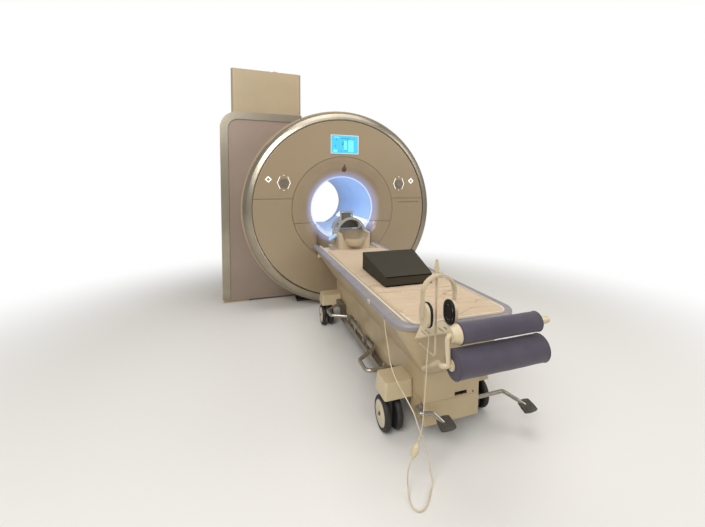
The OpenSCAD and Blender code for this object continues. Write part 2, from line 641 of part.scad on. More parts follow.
// tubes behind the foot end that carry the two rolls
module roll_holder() color("ivory") {
    bent_bar([[-172, -2218, 425], [-240, -2330, 505], [-262, -2500, 622], [-284, lower_roll[0], lower_roll[1]],
        [262, lower_roll[0], lower_roll[1]]], 11, 20);
    bent_bar([[-256, lower_roll[0], lower_roll[1] + 6], [-256, upper_roll[0], upper_roll[1]],
        [276, upper_roll[0], upper_roll[1]]], 10.9, 20);
    translate([0, lower_roll[0], lower_roll[1]]) cyl_x(-246, -240, 24);
    translate([0, lower_roll[0], lower_roll[1]]) cyl_x(232, 266, 16);
    translate([-242, upper_roll[0], upper_roll[1]]) rotate([0, 90, 0]) cylinder(r1 = 30, r2 = 43, h = 35, $fn = 64);
    translate([214, upper_roll[0], upper_roll[1]]) rotate([0, 90, 0]) cylinder(r1 = 26, r2 = 14, h = 64, $fn = 48);
}

// rolls of covering material, each on its tube
module roll(r, x) translate([0, r[0], r[1]]) difference() {
    cyl_x(x[0], x[1], r[2], 72);
    cyl_x(x[0] - 1, x[1] + 1, 11.06, 48);
    for (end = x) cyl_x(end - 5, end + 5, 18, 48);
}
module roll_upper() color("slateblue") roll(upper_roll, upper_x);
module roll_lower() color("slateblue") roll(lower_roll, lower_x);

// bracket with slots, pole with a leaf-shaped tip, and the hook that holds the headphones
module headphone_stand() color("ivory") {
    flat(rail_top + 4, rail_top + 10) difference() {
        polygon([[-340, -2432], [-135, -2432], [-128, foot_y - 2], [-250, foot_y - 2]]);
        for (x = [-286, -264, -196, -168]) translate([x, -2422]) square([12, 48]);
    }
    block([-245, foot_y - 8, rail_top - 50], [-200, foot_y - 0.2, rail_top + 10]);
    bent_bar([[pole_x, pole_y, 990], [pole_x, pole_y, 600], [pole_x, -2262, 600]], 5, 20);
    upright(pole_y - 3, pole_y + 3) polygon([[pole_x - 5, 984], [pole_x + 5, 984], [pole_x + 12, 1000],
        [pole_x + 5, 1046], [pole_x - 5, 1046], [pole_x - 12, 1000]]);
    bent_bar([[pole_x, pole_y, hook_z], [pole_x, pole_y - 42, hook_z], [pole_x, pole_y - 42, 1000]], 3, 8);
}

// headphones: spring band with a yoke at each end
module headband() color("ivory") difference() {
    union() {
        translate([pole_x, pole_y - 22, 902]) rotate([90, 0, 0]) translate([0, 0, -15]) intersection() {
            rotate_extrude($fn = 96) translate([yoke_x - 4, 0]) square([8, 30]);
            block([-100, 0, -1], [100, 100, 31]);
        }
        for (x = [pole_x - yoke_x, pole_x + yoke_x]) {
            block([x - 4, pole_y - 34, cup_z + 58], [x + 4, pole_y - 10, 902.1]);
            block([x - 4, pole_y - 32, cup_z - 12], [x + 4, pole_y - 12, cup_z + 60]);
        }
    }
    translate([pole_x, pole_y - 22, cup_z]) cyl_x(-100, 100, cup_pin, 24);
}

// ear cup: a shell with a ring pad on its inner side
module cup_outline(r) {
    for (dz = [-14, 14]) translate([0, dz]) circle(r = r, $fn = 64);
    square([2 * r, 28], center = true);
}
module ear_cup(x, s) color("ivory") translate([x, pole_y - 22, cup_z]) mirror([s > 0 ? 0 : 1, 0, 0]) {
    rotate([90, 0, 90]) {
        translate([0, 0, -2]) linear_extrude(14) cup_outline(40);
        translate([0, 0, 12]) linear_extrude(14) difference() {
            cup_outline(38);
            cup_outline(20);
        }
    }
    cyl_x(-9, 0, cup_pin - run_gap, 24);
}
module ear_cup_left() ear_cup(cup_x[0], 1);
module ear_cup_right() ear_cup(cup_x[1], -1);

// sliding tabletop: shallow tray with raised ledges and a hollowed underside profile
module tabletop() color("whitesmoke") intersection() {
    upright(foot_y + 52, coil_y[1]) polygon([[-top_x, 700], [-top_x, 680], [-240, 640], [-150, 612.5], [150, 612.5],
        [240, 640], [top_x, 680], [top_x, 700], [top_x - 20, 700], [top_x - 20, 676], [-top_x + 20, 676],
        [-top_x + 20, 700]]);
    flat(600, 710) round_rect([-top_x, foot_y + 52], [top_x, 0], tray_corner);
}

// mattress: a plain pad between the ledges, with a lip over the foot rail
module mattress() color("ivory") {
    flat(676.2, pad_top) round_rect([-top_x + 24, foot_y + 56], [top_x - 24, coil_y[0] - 4], 40);
    flat(rail_top + 0.4, pad_top) round_rect([-top_x + 16, foot_y + 8], [top_x - 16, foot_y + 210], 60);
}

// wedge cushion, high towards the head
module cushion() color("darkslategray") difference() {
    flat(pad_top + 0.3, 860) polygon([[-205, -1735], [140, -1735], [252, -1215], [-190, -1215]]);
    translate([0, -1735, pad_top + 70]) rotate([atan((848 - pad_top - 70) / 520), 0, 0])
        block([-400, -100, 0], [400, 700, 300]);
}

// head coil, lower half: a wide foot, a trough open at the foot end, a bowl at its mouth, a plug at the left
module coil_base() color("whitesmoke") difference() {
    union() {
        flat(676.2, 872) round_rect([-168, coil_y[0]], [168, coil_y[1]], 40);
        flat(676.2, 712) round_rect([-205, coil_y[0] + 10], [205, coil_y[1]], 30);
        block([-80, coil_y[1] - 60, 838], [80, lid_y[1], 868]);
        rod([-240, -300, 790], [-158, -300, 846], 20);
        translate([-10, coil_y[0] + 12, 0]) rotate_extrude($fn = 96) polygon([[0, 730], [60, 736], [85, 760], [97, 795],
            [100, 822], [89, 822], [86, 797], [75, 769], [50, 748], [0, 744]]);
    }
    translate([0, coil_y[1] - 35, 880]) rotate([90, 0, 0]) cylinder(r = 138, h = coil_y[1] - 35 - coil_y[0] + 1, $fn = 96);
    for (y = [-350 : 70 : -170], s = [-1, 1]) block([s * 168 - 10, y, 745], [s * 168 + 10, y + 36, 790]);
}

// head coil, upper half: a ribbed tube with windows, and the frame and block of its mirror
module coil_top() color("whitesmoke") difference() {
    union() {
        translate([0, lid_y[1], 862]) rotate([90, 0, 0]) cylinder(r = 148, h = lid_y[1] - lid_y[0], $fn = 96);
        for (y = [lid_y[0] + 18, -120, lid_y[1]]) translate([0, y, 862]) rotate([90, 0, 0]) cylinder(r = 154, h = 18, $fn = 96);
        upright(-248, -236) difference() {
            round_rect([-115, 940], [25, 1085], 18);
            round_rect([-99, 930], [9, 1069], 12);
        }
        block([-95, -230, 990], [5, -192, 1058]);
    }
    translate([0, lid_y[1] - 12, 862]) rotate([90, 0, 0]) cylinder(r = 128, h = 300, $fn = 96);
    block([-200, -350, 600], [200, 100, 872.4]);
    for (s = [-1, 1]) block([s * 130 - 45, -230, 905], [s * 130 + 45, -145, 950]);
}

// call bulb at the end of its hose
bulb_a = [-312, -2420, 223];
bulb_b = [-336, -2420, 153];
module call_bulb() color("ivory") {
    d = (bulb_b - bulb_a) / norm(bulb_b - bulb_a);
    translate(bulb_a) rotate([0, atan2(d[0], d[2]), 0]) rotate_extrude($fn = 48) polygon([[0, 0], [5, 0],
        [7, 10], [14, 20], [18, 36], [17, 52], [12, 66], [4, 73], [0, 74]]);
}

// hoses: a round section swept along points chosen by hand
call_route = [[-266, -2420, 705], [-267, -2420, 670], [-271, -2421, 630], [-274, -2422, 590], [-275, -2422, 550],
    [-277, -2422, 505], [-281, -2422, 450], [-285, -2422, 390], [-288, -2422, 340], [-290, -2422, 305],
    [-293, -2421, 280], [-299, -2420, 252], [-311.5, -2420, 223.8]];
headphone_route = [[-346, -2080, 677.5], [-344, -2084, 650], [-341, -2090, 606], [-336, -2120, 521],
    [-337, -2160, 451], [-329, -2220, 396], [-317, -2310, 355], [-304, -2370, 312], [-295, -2390, 268],
    [-280, -2400, 226], [-268, -2402, 179], [-252, -2410, 123], [-243, -2418, 68], [-236, -2422, 26],
    [-240, -2432, 8], [-258, -2452, 5.5], [-287, -2489, 5.5], [-325, -2522, 5.5], [-348, -2528, 5.5],
    [-368, -2512, 5.5], [-373, -2480, 5.5], [-366, -2448, 8], [-360, -2428, 22], [-360, -2420, 59], [-354, -2420, 115],
    [-336.3, -2420, 152]];

module call_hose() color("ivory") sweep(call_route, call_d / 2, 8);
module headphone_hose() color("ivory") sweep(headphone_route, hose_d / 2, 8);

magnet_feet();
vacuum_vessel();
cold_mass();
gradient_coil();
bore_liner();
light_ring();
bore_bed();
funnel_upper();
funnel_lower();
face_upper();
face_lower();
face_ring();
drum_covers();
rear_cover();
wing_panel();
wing_trim();
wing_housing();
duct_cover();
vent_pipe();
cold_head();
display_bezel();
display_screen();
laser_window();
control_lights();
dial_left();
dial_right();
chassis();
base_cover();
castor_covers();
fork_foot_left();
fork_foot_right();
fork_head_left();
fork_head_right();
wheels_foot_left();
wheels_foot_right();
wheels_head_left();
wheels_head_right();
side_bar_left();
side_bar_right();
pedal_left();
pedal_right();
telescopic_cover();
lift_columns();
table_body();
side_rails();
roll_holder();
roll_upper();
roll_lower();
headphone_stand();
headband();
ear_cup_left();
ear_cup_right();
tabletop();
mattress();
cushion();
coil_base();
coil_top();
call_bulb();
call_hose();
headphone_hose();
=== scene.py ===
import json
import math

import bmesh
import bpy
from mathutils import Matrix, Vector, noise


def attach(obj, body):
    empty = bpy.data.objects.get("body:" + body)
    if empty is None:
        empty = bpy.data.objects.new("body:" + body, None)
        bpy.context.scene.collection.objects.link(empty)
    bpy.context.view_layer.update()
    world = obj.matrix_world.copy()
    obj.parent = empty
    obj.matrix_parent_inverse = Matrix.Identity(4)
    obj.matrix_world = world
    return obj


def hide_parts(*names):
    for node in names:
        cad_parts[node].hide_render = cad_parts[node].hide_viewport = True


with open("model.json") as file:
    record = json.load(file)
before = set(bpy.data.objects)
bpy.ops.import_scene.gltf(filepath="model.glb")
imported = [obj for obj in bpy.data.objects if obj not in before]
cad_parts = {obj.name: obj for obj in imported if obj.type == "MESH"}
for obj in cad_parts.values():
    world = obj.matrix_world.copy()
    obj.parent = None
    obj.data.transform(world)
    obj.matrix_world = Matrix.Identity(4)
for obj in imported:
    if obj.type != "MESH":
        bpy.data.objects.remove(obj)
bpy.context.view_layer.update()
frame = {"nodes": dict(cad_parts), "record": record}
nodes = frame["nodes"]
print("frame loaded:", len(nodes), "nodes")

# metres, in the frame of the model: origin on the floor under the bore axis, +Y into the bore
axisHeight = 1.085
boreRadius = 0.35
mm = 0.001


def linear(hexText):
    # sRGB hex to the linear values that a shader takes
    parts = [int(hexText[i:i + 2], 16) / 255 for i in (1, 3, 5)]
    return tuple(c / 12.92 if c <= 0.04045 else ((c + 0.055) / 1.055) ** 2.4 for c in parts) + (1.0,)


def addNode(tree, kind, settings=None, values=None, links=None):
    node = tree.nodes.new(kind)
    for key, value in (settings or {}).items():
        setattr(node, key, value)
    for key, value in (values or {}).items():
        node.inputs[key].default_value = value
    for key, source in (links or {}).items():
        tree.links.new(source, node.inputs[key])
    return node


# camera: the place and lens of the photograph, found from the housing, the seams and the table's edges
cameraView = {
    "place": (-1.019, -3.765, 1.387),
    "yaw": 0.354,
    "pitch": 0.061,
    "roll": 0.009,
    "lens": 17.909,
    "shift": (-0.0334, -0.0857),
}


def makeCamera(view):
    yaw, pitch, roll = view["yaw"], view["pitch"], view["roll"]
    forward = Vector((math.sin(yaw) * math.cos(pitch), math.cos(yaw) * math.cos(pitch), -math.sin(pitch)))
    right = Vector((math.cos(yaw), -math.sin(yaw), 0))
    up = right.cross(forward)
    turnedRight = right * math.cos(roll) + up * math.sin(roll)
    turnedUp = up * math.cos(roll) - right * math.sin(roll)
    camera = bpy.data.objects.new("camera", bpy.data.cameras.new("camera"))
    bpy.context.scene.collection.objects.link(camera)
    turn = Matrix((turnedRight, turnedUp, -forward)).transposed().to_4x4()
    camera.matrix_world = Matrix.Translation(view["place"]) @ turn
    camera.data.lens = view["lens"]
    camera.data.sensor_width = 36
    camera.data.shift_x, camera.data.shift_y = view["shift"]
    bpy.context.scene.camera = camera


makeCamera(cameraView)


# finishes
def startFinish(name):
    made = bpy.data.materials.new(name)
    made.use_nodes = True
    tree = made.node_tree
    shader = tree.nodes["Principled BSDF"]
    place = addNode(tree, "ShaderNodeTexCoord").outputs["Object"]
    return made, tree, shader, place


def plainFinish(name, hexA, hexB, roughness, blotch=0.25, grain=0.6, depth=0.02, metallic=0.0, coat=0.0,
                ior=1.5, spread=0.06):
    # hexA and hexB drift into each other over blotch metres; grain and depth of the skin are in millimetres
    made, tree, shader, place = startFinish(name)
    drift = addNode(tree, "ShaderNodeTexNoise", values={"Scale": 1 / blotch, "Detail": 3.0},
                    links={"Vector": place})
    ramp = addNode(tree, "ShaderNodeMapRange", values={"From Min": 0.35, "From Max": 0.65},
                   links={"Value": drift.outputs["Fac"]})
    blend = addNode(tree, "ShaderNodeMix", {"data_type": "RGBA"}, links={"Factor": ramp.outputs["Result"]})
    blend.inputs[6].default_value = linear(hexA)
    blend.inputs[7].default_value = linear(hexB)
    tree.links.new(blend.outputs[2], shader.inputs["Base Color"])
    rough = addNode(tree, "ShaderNodeMapRange",
                    values={"To Min": roughness - spread, "To Max": roughness + spread},
                    links={"Value": drift.outputs["Fac"]})
    tree.links.new(rough.outputs["Result"], shader.inputs["Roughness"])
    skin = addNode(tree, "ShaderNodeTexNoise", values={"Scale": 1 / (grain * mm), "Detail": 2.0},
                   links={"Vector": place})
    bump = addNode(tree, "ShaderNodeBump", values={"Strength": 0.5, "Distance": depth * mm},
                   links={"Height": skin.outputs["Fac"]})
    tree.links.new(bump.outputs["Normal"], shader.inputs["Normal"])
    shader.inputs["Metallic"].default_value = metallic
    shader.inputs["Coat Weight"].default_value = coat
    shader.inputs["Coat Roughness"].default_value = 0.08
    shader.inputs["IOR"].default_value = ior
    return made, tree, shader, place


def fromAxis(tree, place):
    # distance of a point from the bore axis
    centred = addNode(tree, "ShaderNodeMapping", values={"Location": (0, 0, -axisHeight), "Scale": (1, 0, 1)},
                      links={"Vector": place})
    return addNode(tree, "ShaderNodeVectorMath", {"operation": "LENGTH"},
                   links={0: centred.outputs["Vector"]}).outputs["Value"]


def funnelLacquer():
    # clear-coated champagne lacquer; the light ring's blue spills over the rim of the bore
    made, tree, shader, place = plainFinish("champagneLacquerFunnel", "#95836A", "#8F7D64", 0.3, coat=0.4,
                                            grain=1.4)
    spill = addNode(tree, "ShaderNodeMapRange", {"interpolation_type": "SMOOTHERSTEP"},
                    {"From Min": boreRadius + 2 * mm, "From Max": boreRadius + 100 * mm, "To Min": 0.4,
                     "To Max": 0.0},
                    {"Value": fromAxis(tree, place)})
    shader.inputs["Emission Color"].default_value = linear("#A9B8F4")
    tree.links.new(spill.outputs["Result"], shader.inputs["Emission Strength"])
    return made


def boreLaminate():
    # pale smooth laminate, lit blue-white from the ring at its mouth and fading with depth
    made, tree, shader, place = plainFinish("boreLaminate", "#B0C2D8", "#A8BCD4", 0.35, coat=0.2)
    depth = addNode(tree, "ShaderNodeSeparateXYZ", links={"Vector": place}).outputs["Y"]
    fade = addNode(tree, "ShaderNodeMapRange",
                   values={"From Min": 0.1, "From Max": 1.6, "To Min": 0.46, "To Max": 0.27},
                   links={"Value": depth})
    shader.inputs["Emission Color"].default_value = linear("#8DB6F2")
    tree.links.new(fade.outputs["Result"], shader.inputs["Emission Strength"])
    return made


def glowFinish(name, hexBase, hexGlow, strength):
    # a smooth surface that gives off or carries light of its own
    made, _, shader, _ = plainFinish(name, hexBase, hexBase, 0.3)
    shader.inputs["Emission Color"].default_value = linear(hexGlow)
    shader.inputs["Emission Strength"].default_value = strength
    return made


def wheelRubber():
    # moulded black rubber: fine pits and a grey bloom of floor dust
    return plainFinish("tyreRubber", "#1D1B19", "#2B2825", 0.62, blotch=0.05, grain=1.0, depth=0.06)[0]


def couchRollFabric():
    # dark lavender non-woven couch roll: soft fibres about 2 mm long, no gloss
    made, _, shader, _ = plainFinish("couchRollFabric", "#473F4D", "#3E3744", 0.82, blotch=0.12, grain=2.2,
                                     depth=0.25)
    shader.inputs["Sheen Weight"].default_value = 0.2
    shader.inputs["Sheen Roughness"].default_value = 0.5
    return made


# folds pressed into the sheet: their width and the darkness of the painted shade along them, and where along
# the table they fade out
foldSettings = {"scale": 9.0, "stretch": 0.28, "lineWidth": 0.02, "strength": 0.6, "smoothFrom": -1.0,
                "creasedFrom": -1.75, "leastShare": 0.12}


def sheetCotton(name, hexA, hexB, hexFoldShade, thread=1.6):
    # woven cotton sheeting; the weave is drawn at 1.6 mm, coarser than real, so that it shows
    made, tree, shader, place = startFinish(name)
    waves = []
    for direction in ("X", "Y"):
        wave = addNode(tree, "ShaderNodeTexWave", {"bands_direction": direction},
                       {"Scale": 1 / (thread * mm * 3.2), "Distortion": 0.6, "Detail": 1.0},
                       {"Vector": place})
        waves.append(wave.outputs["Fac"])
    weave = addNode(tree, "ShaderNodeMath", {"operation": "MULTIPLY"}, links={0: waves[0], 1: waves[1]})
    drift = addNode(tree, "ShaderNodeTexNoise", values={"Scale": 6.0, "Detail": 4.0}, links={"Vector": place})
    blend = addNode(tree, "ShaderNodeMix", {"data_type": "RGBA"}, links={"Factor": drift.outputs["Fac"]})
    blend.inputs[6].default_value = linear(hexA)
    blend.inputs[7].default_value = linear(hexB)
    # pressed folds run across the table as thin lines of painted shade that grow stronger towards its foot
    s = foldSettings
    squeezed = addNode(tree, "ShaderNodeMapping", values={"Scale": (s["stretch"], 1.0, 1.0)},
                       links={"Vector": place})
    folds = addNode(tree, "ShaderNodeTexNoise",
                    values={"Scale": s["scale"], "Detail": 1.0, "Distortion": 0.5},
                    links={"Vector": squeezed.outputs["Vector"]})
    apart = addNode(tree, "ShaderNodeMath", {"operation": "SUBTRACT"}, {1: 0.5}, {0: folds.outputs["Fac"]})
    near = addNode(tree, "ShaderNodeMath", {"operation": "ABSOLUTE"}, links={0: apart.outputs["Value"]})
    line = addNode(tree, "ShaderNodeMapRange", {"interpolation_type": "SMOOTHSTEP"},
                   {"From Min": 0.0, "From Max": s["lineWidth"], "To Min": s["strength"], "To Max": 0.0},
                   {"Value": near.outputs["Value"]})
    along = addNode(tree, "ShaderNodeSeparateXYZ", links={"Vector": place}).outputs["Y"]
    slack = addNode(tree, "ShaderNodeMapRange",
                    values={"From Min": s["smoothFrom"], "From Max": s["creasedFrom"],
                            "To Min": s["leastShare"]},
                    links={"Value": along})
    crease = addNode(tree, "ShaderNodeMath", {"operation": "MULTIPLY"},
                     links={0: line.outputs["Result"], 1: slack.outputs["Result"]})
    shaded = addNode(tree, "ShaderNodeMix", {"data_type": "RGBA"}, links={"Factor": crease.outputs["Value"]})
    tree.links.new(blend.outputs[2], shaded.inputs[6])
    # colour of the painted shade in the folds
    shaded.inputs[7].default_value = linear(hexFoldShade)
    tree.links.new(shaded.outputs[2], shader.inputs["Base Color"])
    bump = addNode(tree, "ShaderNodeBump", values={"Strength": 0.35, "Distance": 0.1 * mm},
                   links={"Height": weave.outputs["Value"]})
    pressed = addNode(tree, "ShaderNodeBump", {"invert": True}, {"Strength": 0.6, "Distance": 2 * mm},
                      {"Height": crease.outputs["Value"], "Normal": bump.outputs["Normal"]})
    tree.links.new(pressed.outputs["Normal"], shader.inputs["Normal"])
    shader.inputs["Roughness"].default_value = 0.8
    shader.inputs["Sheen Weight"].default_value = 0.15
    return made


def cushionVinyl():
    # dark olive-brown coated fabric on foam: fine leather grain of about 1.5 mm, dull sheen
    made, tree, shader, place = plainFinish("cushionVinyl", "#332E23", "#3A3428", 0.68, blotch=0.3, grain=1.5,
                                            depth=0.1, ior=1.35)
    cells = addNode(tree, "ShaderNodeTexVoronoi", {"feature": "DISTANCE_TO_EDGE"}, {"Scale": 1 / (2.2 * mm)},
                    {"Vector": place})
    grainBump = addNode(tree, "ShaderNodeBump", values={"Strength": 0.25, "Distance": 0.15 * mm},
                        links={"Height": cells.outputs["Distance"]})
    tree.links.new(grainBump.outputs["Normal"], shader.inputs["Normal"])
    return made


# two colours that drift into each other, roughness, and what else differs from the usual look
plainLooks = {
    # champagne lacquer under a clear coat on the face: warm, even, with soft long reflections
    "champagneLacquer": ("#98866B", "#928065", 0.3,
                         {"blotch": 1.2, "grain": 1.4, "coat": 0.35, "spread": 0.02}),
    # the same lacquer in taupe on the wing's front panel
    "taupeLacquer": ("#968476", "#8E7C6E", 0.32, {"blotch": 0.6, "grain": 1.4, "coat": 0.4}),
    # satin silver paint with a fine metallic flake, so it darkens where it turns away
    "silverPaint": ("#ADA391", "#A09684", 0.3,
                    {"grain": 0.8, "depth": 0.004, "metallic": 0.9, "coat": 0.2}),
    # ABS covers with a fine moulded texture: dull cream, no sharp reflection
    "creamAbs": ("#A99779", "#A29072", 0.42, {"blotch": 0.4, "grain": 1.0, "depth": 0.03}),
    # ABS table body with a thin clear coat: a faint sheen on the flared sides
    "tableCream": ("#B5A17F", "#AD9977", 0.38,
                   {"blotch": 0.3, "grain": 1.0, "depth": 0.03, "coat": 0.15}),
    # castor hoods: the same moulding, painted paler as a lit copy of it: painted light
    "hoodCreamLit": ("#C6B594", "#BDAB8A", 0.36, {"blotch": 0.3, "grain": 1.0, "depth": 0.03, "coat": 0.2}),
    # powder coat on bent tube and small brackets: smooth and slightly soft
    "creamPaint": ("#C9B999", "#BFAE8E", 0.36, {"blotch": 0.1, "grain": 0.8, "coat": 0.2}),
    # nickel-plated steel bars: a bright line along the tube, dark beside it
    "platedSteel": ("#A29B8F", "#958E81", 0.26,
                    {"blotch": 0.1, "grain": 0.8, "metallic": 0.7, "coat": 0.2}),
    # pale ABS frame of the display: cool against the warm face
    "bezelPlastic": ("#D5DBDD", "#CBD2D5", 0.3, {}),
    # tinted acrylic over the alignment lamp: near black, with one sharp reflection
    "amberWindow": ("#5A4018", "#3C2A10", 0.12, {"coat": 0.8}),
    # turned and anodised aluminium dials: satin, darker than the face
    "dialSatin": ("#8C8378", "#7C746B", 0.35, {"blotch": 0.02, "grain": 0.5, "metallic": 0.6}),
    # painted grey iron feet: coarse cast skin
    "castIron": ("#3A3A3B", "#303032", 0.6, {"blotch": 0.08, "grain": 2.5, "depth": 0.2}),
    # brushed steel of the vessel and the fasteners: bright, with a fine grain
    "brushedSteel": ("#A9A9A8", "#989896", 0.3, {"blotch": 0.06, "grain": 0.4, "metallic": 1.0}),
    # mill-finish aluminium slides and columns: pale, with blurred reflections
    "bareAluminium": ("#B4B5B6", "#A3A4A6", 0.38, {"blotch": 0.05, "grain": 0.6, "metallic": 1.0}),
    # potting resin of the gradient coil: dull olive yellow
    "castResin": ("#8A7C44", "#7A6D3A", 0.45, {"blotch": 0.1}),
    # powder-coated sleeve of the lift: plain warm grey
    "sleeveGrey": ("#B9B4A6", "#ADA899", 0.4, {"blotch": 0.2}),
    # soft extruded bumper: lavender grey, faintly rubbed
    "railBumper": ("#8E8789", "#857F82", 0.36, {"blotch": 0.18, "grain": 1.2, "depth": 0.05}),
    # glass-filled nylon castor forks: dark and matt
    "forkGrey": ("#4A4843", "#3D3B37", 0.45, {"blotch": 0.05}),
    # moulded nylon hub discs: pale, slightly soft
    "hubPlastic": ("#C9BCA2", "#BDB096", 0.4, {"blotch": 0.04}),
    # rubber pedal covers: dark, fine pits
    "padRubber": ("#4A443C", "#3E3933", 0.6, {"blotch": 0.03, "grain": 1.2, "depth": 0.1}),
    # moulded ABS of the headphones: cream, low sheen
    "phonesPlastic": ("#C3B496", "#B8A889", 0.4, {"blotch": 0.05, "grain": 0.8}),
    # black vinyl ear pads: leather grain, almost no shine
    "earVinyl": ("#0C0B0B", "#141312", 0.6, {"blotch": 0.02, "grain": 1.2, "depth": 0.12, "ior": 1.35}),
    # laminate of the tabletop and the rail's bead: pale and smooth
    "topPlastic": ("#D8CEBB", "#CFC4B0", 0.35, {"blotch": 0.3}),
    # polycarbonate of the coil's lower half: cream with a thin gloss
    "coilPlastic": ("#BEAE94", "#B5A58B", 0.32, {"blotch": 0.15, "coat": 0.2}),
    # smoke-grey moulded shell that catches a little of the ring's blue
    "coilShell": ("#A3A29B", "#97968F", 0.25, {"blotch": 0.1, "coat": 0.5}),
    # sky blue, even, low gloss: the short cylinder at the coil's left
    "coilBlue": ("#A9C8E6", "#9BBDE0", 0.35, {}),
    # extruded silicone hose: cream, low sheen
    "hoseRubber": ("#CFC1A2", "#C2B392", 0.42, {"blotch": 0.05, "grain": 0.8}),
    # coated fabric of the mattress: pale, fine leather grain
    "mattressVinyl": ("#D9CDB8", "#CFC2AC", 0.5, {"blotch": 0.2, "grain": 1.4, "depth": 0.08}),
    # satin grey paint of the low beam: a soft sheen along its edges
    "beamSatin": ("#857D70", "#7A7266", 0.3, {"blotch": 0.15, "metallic": 0.6}),
    # dark grey ABS block that carries the mirror: smooth, with a faint sheen
    "mirrorGrey": ("#6A655C", "#5E5950", 0.3, {"blotch": 0.05}),
    # shadow in the joint between two lengths of bumper
    "seamGrey": ("#5F5A5C", "#555053", 0.6, {"blotch": 0.05}),
    # dark slot or keyhole, seen as shade
    "darkSeam": ("#4A3F30", "#3C3327", 0.6, {}),
}
finishes = {name: plainFinish(name, *look[:3], **look[3])[0] for name, look in plainLooks.items()}
finishes.update({
    "champagneLacquerFunnel": funnelLacquer(),
    "boreLaminate": boreLaminate(),
    # moulded bed and ledges in the bore, washed by the ring's light
    "borePlastic": glowFinish("borePlastic", "#D9DCE0", "#A9C6F4", 0.28),
    # frosted acrylic light guide: an even violet-blue band
    "lightGuide": glowFinish("lightGuide", "#C9D3EA", "#AFC0F2", 0.8),
    # white laminate strip that glows: a painted highlight of the ring's light on the ledge
    "ledgeLaminateHighlight": glowFinish("ledgeLaminateHighlight", "#E8EEF4", "#E4EEFC", 1.0),
    # lit display behind glass: flat cyan
    "screenGlass": glowFinish("screenGlass", "#20566B", "#4FCBF2", 0.95),
    # back-lit acrylic marks: clean white
    "litMark": glowFinish("litMark", "#F4F4EE", "#FFFDF5", 0.9),
    "tyreRubber": wheelRubber(),
    "couchRoll": couchRollFabric(),
    "sheetCotton": sheetCotton("sheetCotton", "#C3AC8E", "#B79F82", "#806B50"),
    "cushionVinyl": cushionVinyl(),
})
print("finishes made:", len(finishes))

# finish of each material slot of the solid model, then of the nodes that differ from their slot
slotFinish = {
    "cast_frame": "castIron", "bare_steel": "brushedSteel", "bare_aluminium": "bareAluminium",
    "resin": "castResin",
    "bore_shell": "boreLaminate", "light_guide": "lightGuide", "bore_plastic": "borePlastic",
    "face_gloss": "champagneLacquer", "ring_silver": "silverPaint", "cream_cover": "creamAbs",
    "wing_mauve": "taupeLacquer", "bezel_plastic": "bezelPlastic", "screen_glass": "screenGlass",
    "amber_window": "amberWindow", "lit_mark": "litMark", "dial_plastic": "dialSatin",
    "cream_metal": "creamPaint", "table_cream": "tableCream", "grey_sleeve": "sleeveGrey",
    "rail_bumper": "railBumper", "paper_roll": "couchRoll",
    "phones_plastic": "phonesPlastic", "top_plastic": "topPlastic", "mattress_vinyl": "mattressVinyl",
    "cushion_vinyl": "cushionVinyl", "coil_plastic": "coilPlastic", "castor_fork": "forkGrey",
    "castor_tyre": "tyreRubber", "pedal_metal": "platedSteel", "hose_cream": "hoseRubber",
}
nodeFinish = {
    "funnel_upper": "champagneLacquerFunnel", "funnel_lower": "champagneLacquerFunnel",
    "side_bar_left": "platedSteel", "side_bar_right": "platedSteel", "chassis": "beamSatin",
    # the castor hoods take the paler copy of the table's cream, with light painted in
    "coil_top": "coilShell", "castor_covers": "hoodCreamLit",
}
slotOf = {entry["node"]: entry["material_slot"] for entry in frame["record"]["subparts"]}
for nodeName, solid in nodes.items():
    chosen = finishes[nodeFinish.get(nodeName, slotFinish[slotOf[nodeName]])]
    if not solid.material_slots:
        solid.data.materials.append(chosen)
    for materialSlot in solid.material_slots:
        materialSlot.material = chosen
print("CAD nodes finished")


# making of pieces
def finishPiece(name, shape, finish, body, sharp=35):
    # turns a bmesh into a finished piece at the origin, smooth but for edges sharper than the angle
    bmesh.ops.remove_doubles(shape, verts=shape.verts, dist=0.02 * mm)
    bmesh.ops.recalc_face_normals(shape, faces=shape.faces)
    for edge in shape.edges:
        edge.smooth = edge.is_manifold and edge.calc_face_angle(0) < math.radians(sharp)
    for face in shape.faces:
        face.smooth = True
    mesh = bpy.data.meshes.new(name)
    shape.to_mesh(mesh)
    shape.free()
    return placePiece(name, mesh, finish, body)


def placePiece(name, mesh, finish, body):
    piece = bpy.data.objects.new(name, mesh)
    bpy.context.scene.collection.objects.link(piece)
    piece.data.materials.append(finishes[finish])
    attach(piece, body)
    return piece


def rounded(shape, edges, width, segments):
    bmesh.ops.bevel(shape, geom=edges, offset=width, segments=segments, affect="EDGES", profile=0.5,
                    material=-1)


def turned(shape, angle, axis):
    bmesh.ops.rotate(shape, cent=(0, 0, 0), matrix=Matrix.Rotation(angle, 3, axis), verts=shape.verts)


def scaled(shape, by):
    bmesh.ops.scale(shape, vec=by, verts=shape.verts)


def boxShape(low, high, bevel=0.0, segments=3):
    shape = bmesh.new()
    bmesh.ops.create_cube(shape, size=1)
    size = Vector(high) - Vector(low)
    scaled(shape, size)
    bmesh.ops.translate(shape, vec=(Vector(low) + Vector(high)) / 2, verts=shape.verts)
    if bevel:
        rounded(shape, shape.edges[:], bevel, segments)
    return shape


def turnedShape(profile, axis="X", steps=48):
    # profile: (distance along the axis, radius) pairs, turned a full turn round the axis
    shape = bmesh.new()
    points = [shape.verts.new((along, 0, radius)) for along, radius in profile]
    edges = [shape.edges.new(pair) for pair in zip(points, points[1:])]
    bmesh.ops.spin(shape, geom=points + edges, cent=(0, 0, 0), axis=(1, 0, 0), angle=2 * math.pi, steps=steps,
                   use_merge=True)
    bmesh.ops.remove_doubles(shape, verts=shape.verts, dist=0.01 * mm)
    if axis == "Y":
        turned(shape, math.pi / 2, "Z")
    return shape


def moved(shape, place):
    bmesh.ops.translate(shape, vec=Vector(place), verts=shape.verts)
    return shape


